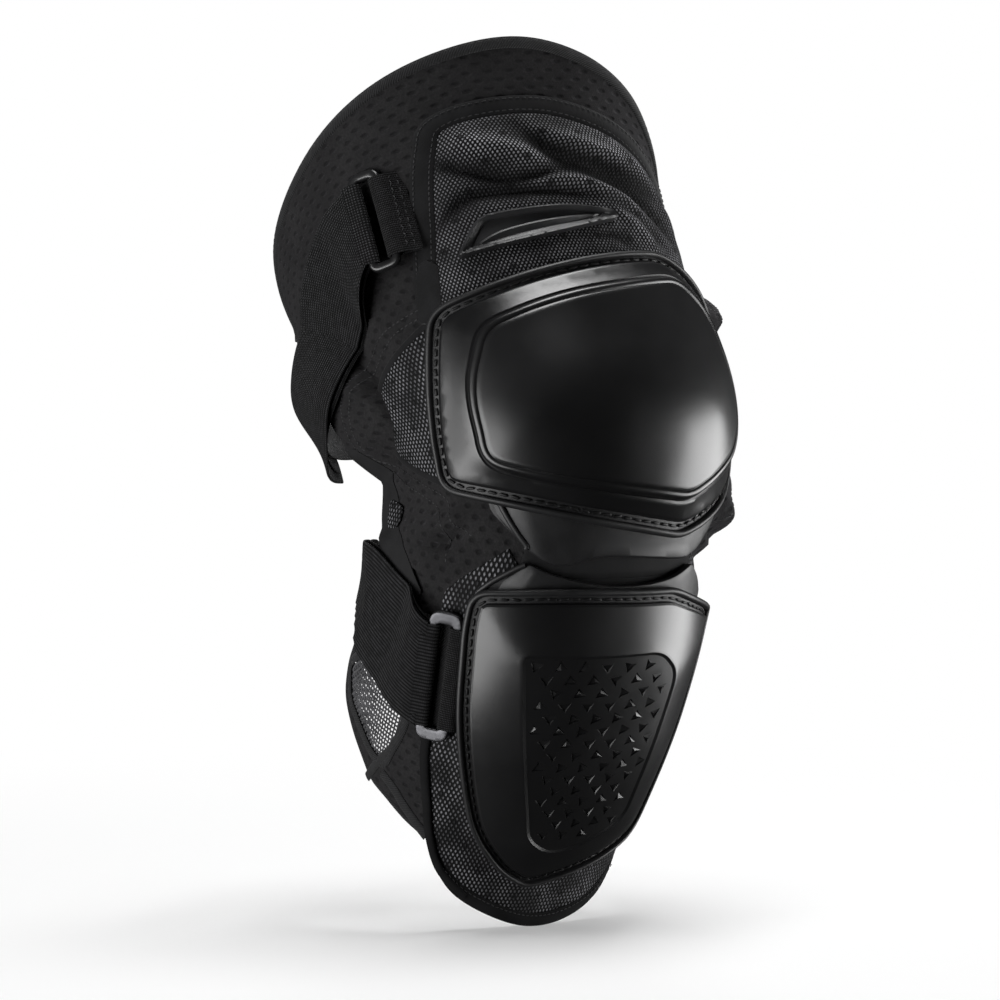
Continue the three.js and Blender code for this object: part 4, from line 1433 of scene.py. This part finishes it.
def band(name, level, start, stop, layer, material, body, lift, narrower=0.0, hang=0.0):
    """A stretch of strap as a closed slab with soft edges. Its weave runs along the strap.

    It leaves its buckle's rear bar at the height lift, and hang, in mm, lets its far end drop.
    """
    width = BUCKLES[level]["width"] - narrower
    first, second = strap_edges(level, start, stop, width)
    across = np.concatenate([[0, 0.008, 0.03], np.linspace(0.08, 0.92, 13), [0.97, 0.992, 1]])
    soft = np.minimum(1, np.sqrt(np.clip(np.minimum(across, 1 - across) / 0.03, 0, 1)))
    spots = first[:, None] * (1 - across[None, :, None]) + second[:, None] * across[None, :, None]
    middle = (first + second) / 2
    run = np.concatenate([[0], np.cumsum(np.linalg.norm(np.diff(middle, axis=0), axis=1) * 1.15)])
    s = spots[..., 0]
    t = spots[..., 1] - hang * ramp(run / run[-1], 0.5, 1.0)[:, None]
    ripple = 0.14 * np.sin(run / 5.0)[:, None] * np.sin(np.pi * across)[None]
    n, m = s.shape

    # Near the buckle the strap leaves its curved path for the straight one through the ring.
    place = in_frame(local_frame(BUCKLES[level]["at"], BUCKLES[level]["lean"], -RING_SPAN))
    heading = (middle[6] - middle[0]) / np.linalg.norm(middle[6] - middle[0])
    away = np.broadcast_to(-2.0 + heading[0] * run[:, None], (n, m))
    settled = ramp(run, 0, 30)[:, None, None]
    ends = place([(0.0, -1.0, 0.0), (0.0, 1.0, 0.0)])
    edges = on_leg([(*first[0], 3.0), (*second[0], 3.0)])
    turned = np.sign((ends[1] - ends[0]) @ (edges[1] - edges[0]))

    skins = []
    for sign in (1, -1):
        thick = sign * (layer[1] - layer[0]) / 2 * (0.25 + 0.75 * soft)[None]
        h = sum(layer) / 2 + slack(level, s, t) + ripple + thick
        points = on_leg(np.stack([s, t, h], -1).reshape(-1, 3)).reshape(n, m, 3)
        if lift is not None:
            z = np.broadcast_to(lift + thick, (n, m))
            y = turned * width * (across - 0.5)[None] + heading[1] * run[:, None]
            head = place(np.stack([away, y, z], -1).reshape(-1, 3)).reshape(n, m, 3)
            points = head * (1 - settled) + points * settled
        skins.append(points[:, ::sign])
    weave = np.stack([
        np.broadcast_to(run[:, None], (n, m)), np.broadcast_to(across[None] * width, (n, m)),
        np.zeros((n, m)),
    ], -1)
    obj = to_object(name, np.hstack(skins).reshape(-1, 3), slab_faces(n, 2 * m),
                    np.hstack([weave, weave[:, ::-1]]).reshape(-1, 3), material, body, 50)
    fix_normals(obj)
    return obj


def ribbon(name, path, width, thick, material, body, matrix):
    """Webbing whose side view is a path of (x, z) points, width along the local y."""
    gap = 0.8
    line = spaced(smooth(path, 120), gap, closed=False)
    side = normals(line, False)
    loop = np.vstack([line + side * thick / 2, (line - side * thick / 2)[::-1]])
    run = np.arange(len(line)) * gap
    across = np.linspace(-0.5, 0.5, 25)[:, None] * width
    pinch = 1 - 0.12 * (np.abs(across) * 2 / width) ** 8
    n, m = len(across), len(loop)
    ys = np.broadcast_to(across, (n, m))
    flat = np.stack([np.broadcast_to(loop[:, 0], (n, m)), ys, loop[:, 1] * pinch], -1)
    runs = np.broadcast_to(np.concatenate([run, run[::-1]]), (n, m))
    weave = np.stack([runs, ys, np.zeros((n, m))], -1)
    obj = to_object(name, in_frame(matrix)(flat.reshape(-1, 3)), slab_faces(n, m),
                    weave.reshape(-1, 3), material, body, 50)
    fix_normals(obj)
    return obj


# Side views of the webbing folded round a bar: the loop, then its tail.
LOOPS = {
    "upper": [
        (12, -7.0), (8, -5.0), (3.2, -3.2), (-1.6, -2.9), (-3.3, -1.4), (-3.4, 1.0), (-1.8, 2.8),
        (1.2, 2.9), (4.4, 1.4), (8, -2.0), (12, -5.4),
    ],
    "lower": [
        (7.5, -4.2), (5.4, -3.6), (3.2, -3.0), (-1.6, -2.9), (-3.4, -1.5), (-3.5, 1.0),
        (-2.0, 2.9), (2.2, 3.2), (4.6, 1.9), (5.8, -0.8), (7.5, -2.4),
    ],
}
STRAP_TURN = [
    (-5, -3.0), (-1.6, -2.9), (2.0, -2.5), (3.3, -0.6), (3.2, 1.2), (1.6, 2.6), (-1.4, 2.8),
    (-5, 2.7),
]


def ring_outline(wide, high, radius):
    """A rounded rectangle round the middle between a buckle's two bars."""
    x, y = wide / 2, high / 2
    centre = -RING_SPAN / 2
    signs = ((-1, -1), (1, -1), (1, 1), (-1, 1))
    return shape([(centre + a * x, b * y, radius) for a, b in signs], 1.0)


def buckle(level):
    """The ring, the webbing that anchors it, and the turn of the strap round its rear bar."""
    facts = BUCKLES[level]
    body = facts["body"]
    matrix = local_frame(facts["at"], facts["lean"])
    place = in_frame(matrix)
    steel = level == "lower"
    outer = ring_outline(RING_SPAN + RING_BAR["wide"], facts["ring"], 6)
    hole = ring_outline(RING_SPAN - RING_BAR["wide"], facts["slot"], 1.6)
    half = RING_BAR["thick"] / 2
    ring = plate(f"{level}_ring_buckle", outer, -half, half,
                 GUNMETAL if steel else BUCKLE_PLASTIC, f"{level}_buckle", rim=facts["ring_rim"],
                 spacing=1.6, holes=[hole], place=place, sharp=50)
    declare("gunmetal" if steel else "black_plastic", ring, node=f"{level}_buckle")

    anchor = ribbon(f"{level}_anchor_loop", LOOPS[level], facts["anchor"], 1.2, WEBBING, body,
                    matrix)
    if steel:
        t = facts["at"][1]
        # A dark sheet under the steel ring, put there as painted shadow in the ring's slot.
        line = [(-86, t - 27, 2), (-62, t - 26, 2), (-61, t + 26, 2), (-84, t + 27, 2)]
        beside = plate(f"{level}_ring_painted_shadow_sheet", shape(line, 1.5), 4.5, 5.2, BINDING, body, rim=0.4,
                       spacing=3)
    else:
        reach = facts["width"] / 2 - 2
        across = [(0, -reach), (0, reach)]
        across = spaced(across, 2 * reach / 29, closed=False)
        rows = [with_height(across + (x, 0), h) for x, h in ((6.6, 0.2), (9.4, -2.6))]
        beside = stitches(f"{level}_anchor_stitches", rows, body, pitch=2.0, long=2.6, thick=0.34,
                          zigzag=40, place=place)
    declare("webbing", anchor, beside, node=f"{level}_anchor_webbing")

    wrapped = ribbon(f"{level}_strap_turn", STRAP_TURN, facts["turn"], 1.3,
                     RIBBED_ELASTIC if steel else ELASTIC, f"{level}_buckle",
                     local_frame(facts["at"], facts["lean"], -RING_SPAN))
    declare("webbing", wrapped, node=f"{level}_strap_fold")


def straps(level):
    """The strap, its hook-and-loop tab, and the patch that holds its inner end."""
    facts = BUCKLES[level]
    body = facts["body"]
    cloth = ELASTIC if level == "upper" else RIBBED_ELASTIC
    start = facts["at"][0] - RING_SPAN
    strap = band(f"{level}_elastic_strap", level, start, facts["strap_end"], STRAP_LAYER, cloth,
                 body, lift=-2.9)
    declare("webbing", strap, node=f"{level}_strap")
    tab = band(f"{level}_strap_outer_layer", level, start, facts["tab_end"], TAB_LAYER, cloth,
               f"{level}_tab", lift=2.6, narrower=0.6, hang=facts["tab_hang"])
    declare("webbing", tab, node=f"{level}_strap_tab")
    hook = band(f"{level}_hook_tape", level, facts["tab_end"] + 34, facts["tab_end"] + 3,
                HOOK_LAYER, HOOK, f"{level}_tab", lift=None, narrower=4.0, hang=facts["hook_hang"])
    declare("hook_tape", hook, node=f"{level}_hook_patch")
    outline = shape(facts["patch"], 1.5)
    patch = plate(f"{level}_strap_end_patch", outline, 4.5, 5.9, SMOOTH_FABRIC, body, rim=0.6,
                  spacing=3)
    seam = with_height(ring_of(inset(outline, 2.2)), 6.0)
    sewn = stitches(f"{level}_strap_patch_stitches", [seam], body)
    declare("webbing", patch, sewn, node=f"{level}_strap_patch")


knee_cup()
shin_plate()
link_plates()
vent()
thigh_liner()
thigh_pad()
pad_border()
knee_pad()
shin_pad()
shin_hem()
liners()
front_panel()
for side_name, mirrored in (("outer", 1), ("inner", -1)):
    gussets(side_name, mirrored)
    side_mesh(side_name, mirrored)
    calf_wing(side_name, mirrored)
for strap_level in BUCKLES:
    buckle(strap_level)
    straps(strap_level)


# ---------- stage ----------

WHITE = (1, 1, 1, 1)
STAGE_REACH = 9.0  # metres


def backdrop(name, mesh, material):
    """A piece of the studio that only the camera sees: the lamps alone light the guard."""
    mesh.materials.append(material)
    obj = linked(name, mesh)
    obj.visible_diffuse = obj.visible_glossy = obj.visible_shadow = False
    obj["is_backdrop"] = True
    return obj


def white_glow(m):
    return m.node("ShaderNodeEmission", {"Color": WHITE, "Strength": 1.0}).outputs[0]


def floor():
    """A pale floor that fades into the white surround."""
    mesh = bpy.data.meshes.new("floor")
    r = STAGE_REACH
    mesh.from_pydata([(-r, -r, 0), (r, -r, 0), (r, r, 0), (-r, r, 0)], [], [(0, 1, 2, 3)])
    m = Nodes("pale_floor", (0.8, 0.8, 0.8), 0.9)
    away = m.between(m.vector("LENGTH", m.place), 0.1, 0.9, 0.35, 1.0)
    mix = m.node("ShaderNodeMixShader", {0: away, 1: m.shader.outputs[0], 2: white_glow(m)})
    m.tree.links.new(mix.outputs[0], m.tree.nodes["Material Output"].inputs["Surface"])
    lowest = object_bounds()[0][2]
    backdrop("floor", mesh, m.material).location.z = lowest


def surround():
    """A white dome."""
    mesh = bpy.data.meshes.new("surround")
    work = bmesh.new()
    bmesh.ops.create_uvsphere(work, u_segments=32, v_segments=16, radius=STAGE_REACH)
    work.to_mesh(mesh)
    work.free()
    m = Nodes("white_surround", (1, 1, 1), 1)
    m.tree.links.new(white_glow(m), m.tree.nodes["Material Output"].inputs["Surface"])
    backdrop("surround", mesh, m.material)


def area_light(name, place, height_aimed_at, size, power):
    """A soft lamp that points at the middle of the guard, at some height."""
    data = bpy.data.lights.new(name, "AREA")
    data.shape = "RECTANGLE"
    data.size, data.size_y = size
    data.energy = power
    obj = linked(name, data)
    obj.location = place
    aim = Vector((0, 0, height_aimed_at)) - Vector(place)
    obj.rotation_euler = aim.to_track_quat("-Z", "Y").to_euler()


def camera():
    """The photograph's view: from the front, 30 degrees to the outer side, almost level."""
    azimuth, elevation = math.radians(-30), math.radians(3)
    distance_away = 2.6
    back = Vector((
        math.sin(azimuth) * math.cos(elevation), -math.cos(azimuth) * math.cos(elevation),
        math.sin(elevation),
    ))
    right = Vector((math.cos(azimuth), math.sin(azimuth), 0))
    target = right * -0.0185 - back.cross(right) * 0.024  # the middle of the picture
    data = bpy.data.cameras.new("camera")
    data.lens = 187.2
    data.sensor_width = 36
    obj = linked("camera", data)
    obj.location = target + back * distance_away
    obj.rotation_euler = back.to_track_quat("Z", "Y").to_euler()
    bpy.context.scene.camera = obj


floor()
surround()
camera()
area_light("left", (-1.88, -0.24, -0.36), 0, (1.8, 1.2), 52)
area_light("right", (1.74, -0.55, -0.30), 0, (1.5, 1.0), 42)
area_light("top", (0.15, -0.15, 1.95), 0.05, (1.6, 0.8), 54)
area_light("rim", (0.9, 1.4, 0.6), 0.05, (0.5, 1.0), 8)
world = bpy.data.worlds.new("studio")
world.use_nodes = True
background = world.node_tree.nodes["Background"].inputs
background["Color"].default_value = WHITE
background["Strength"].default_value = 0.030
bpy.context.scene.world = world
bpy.context.scene.view_settings.view_transform = "Standard"
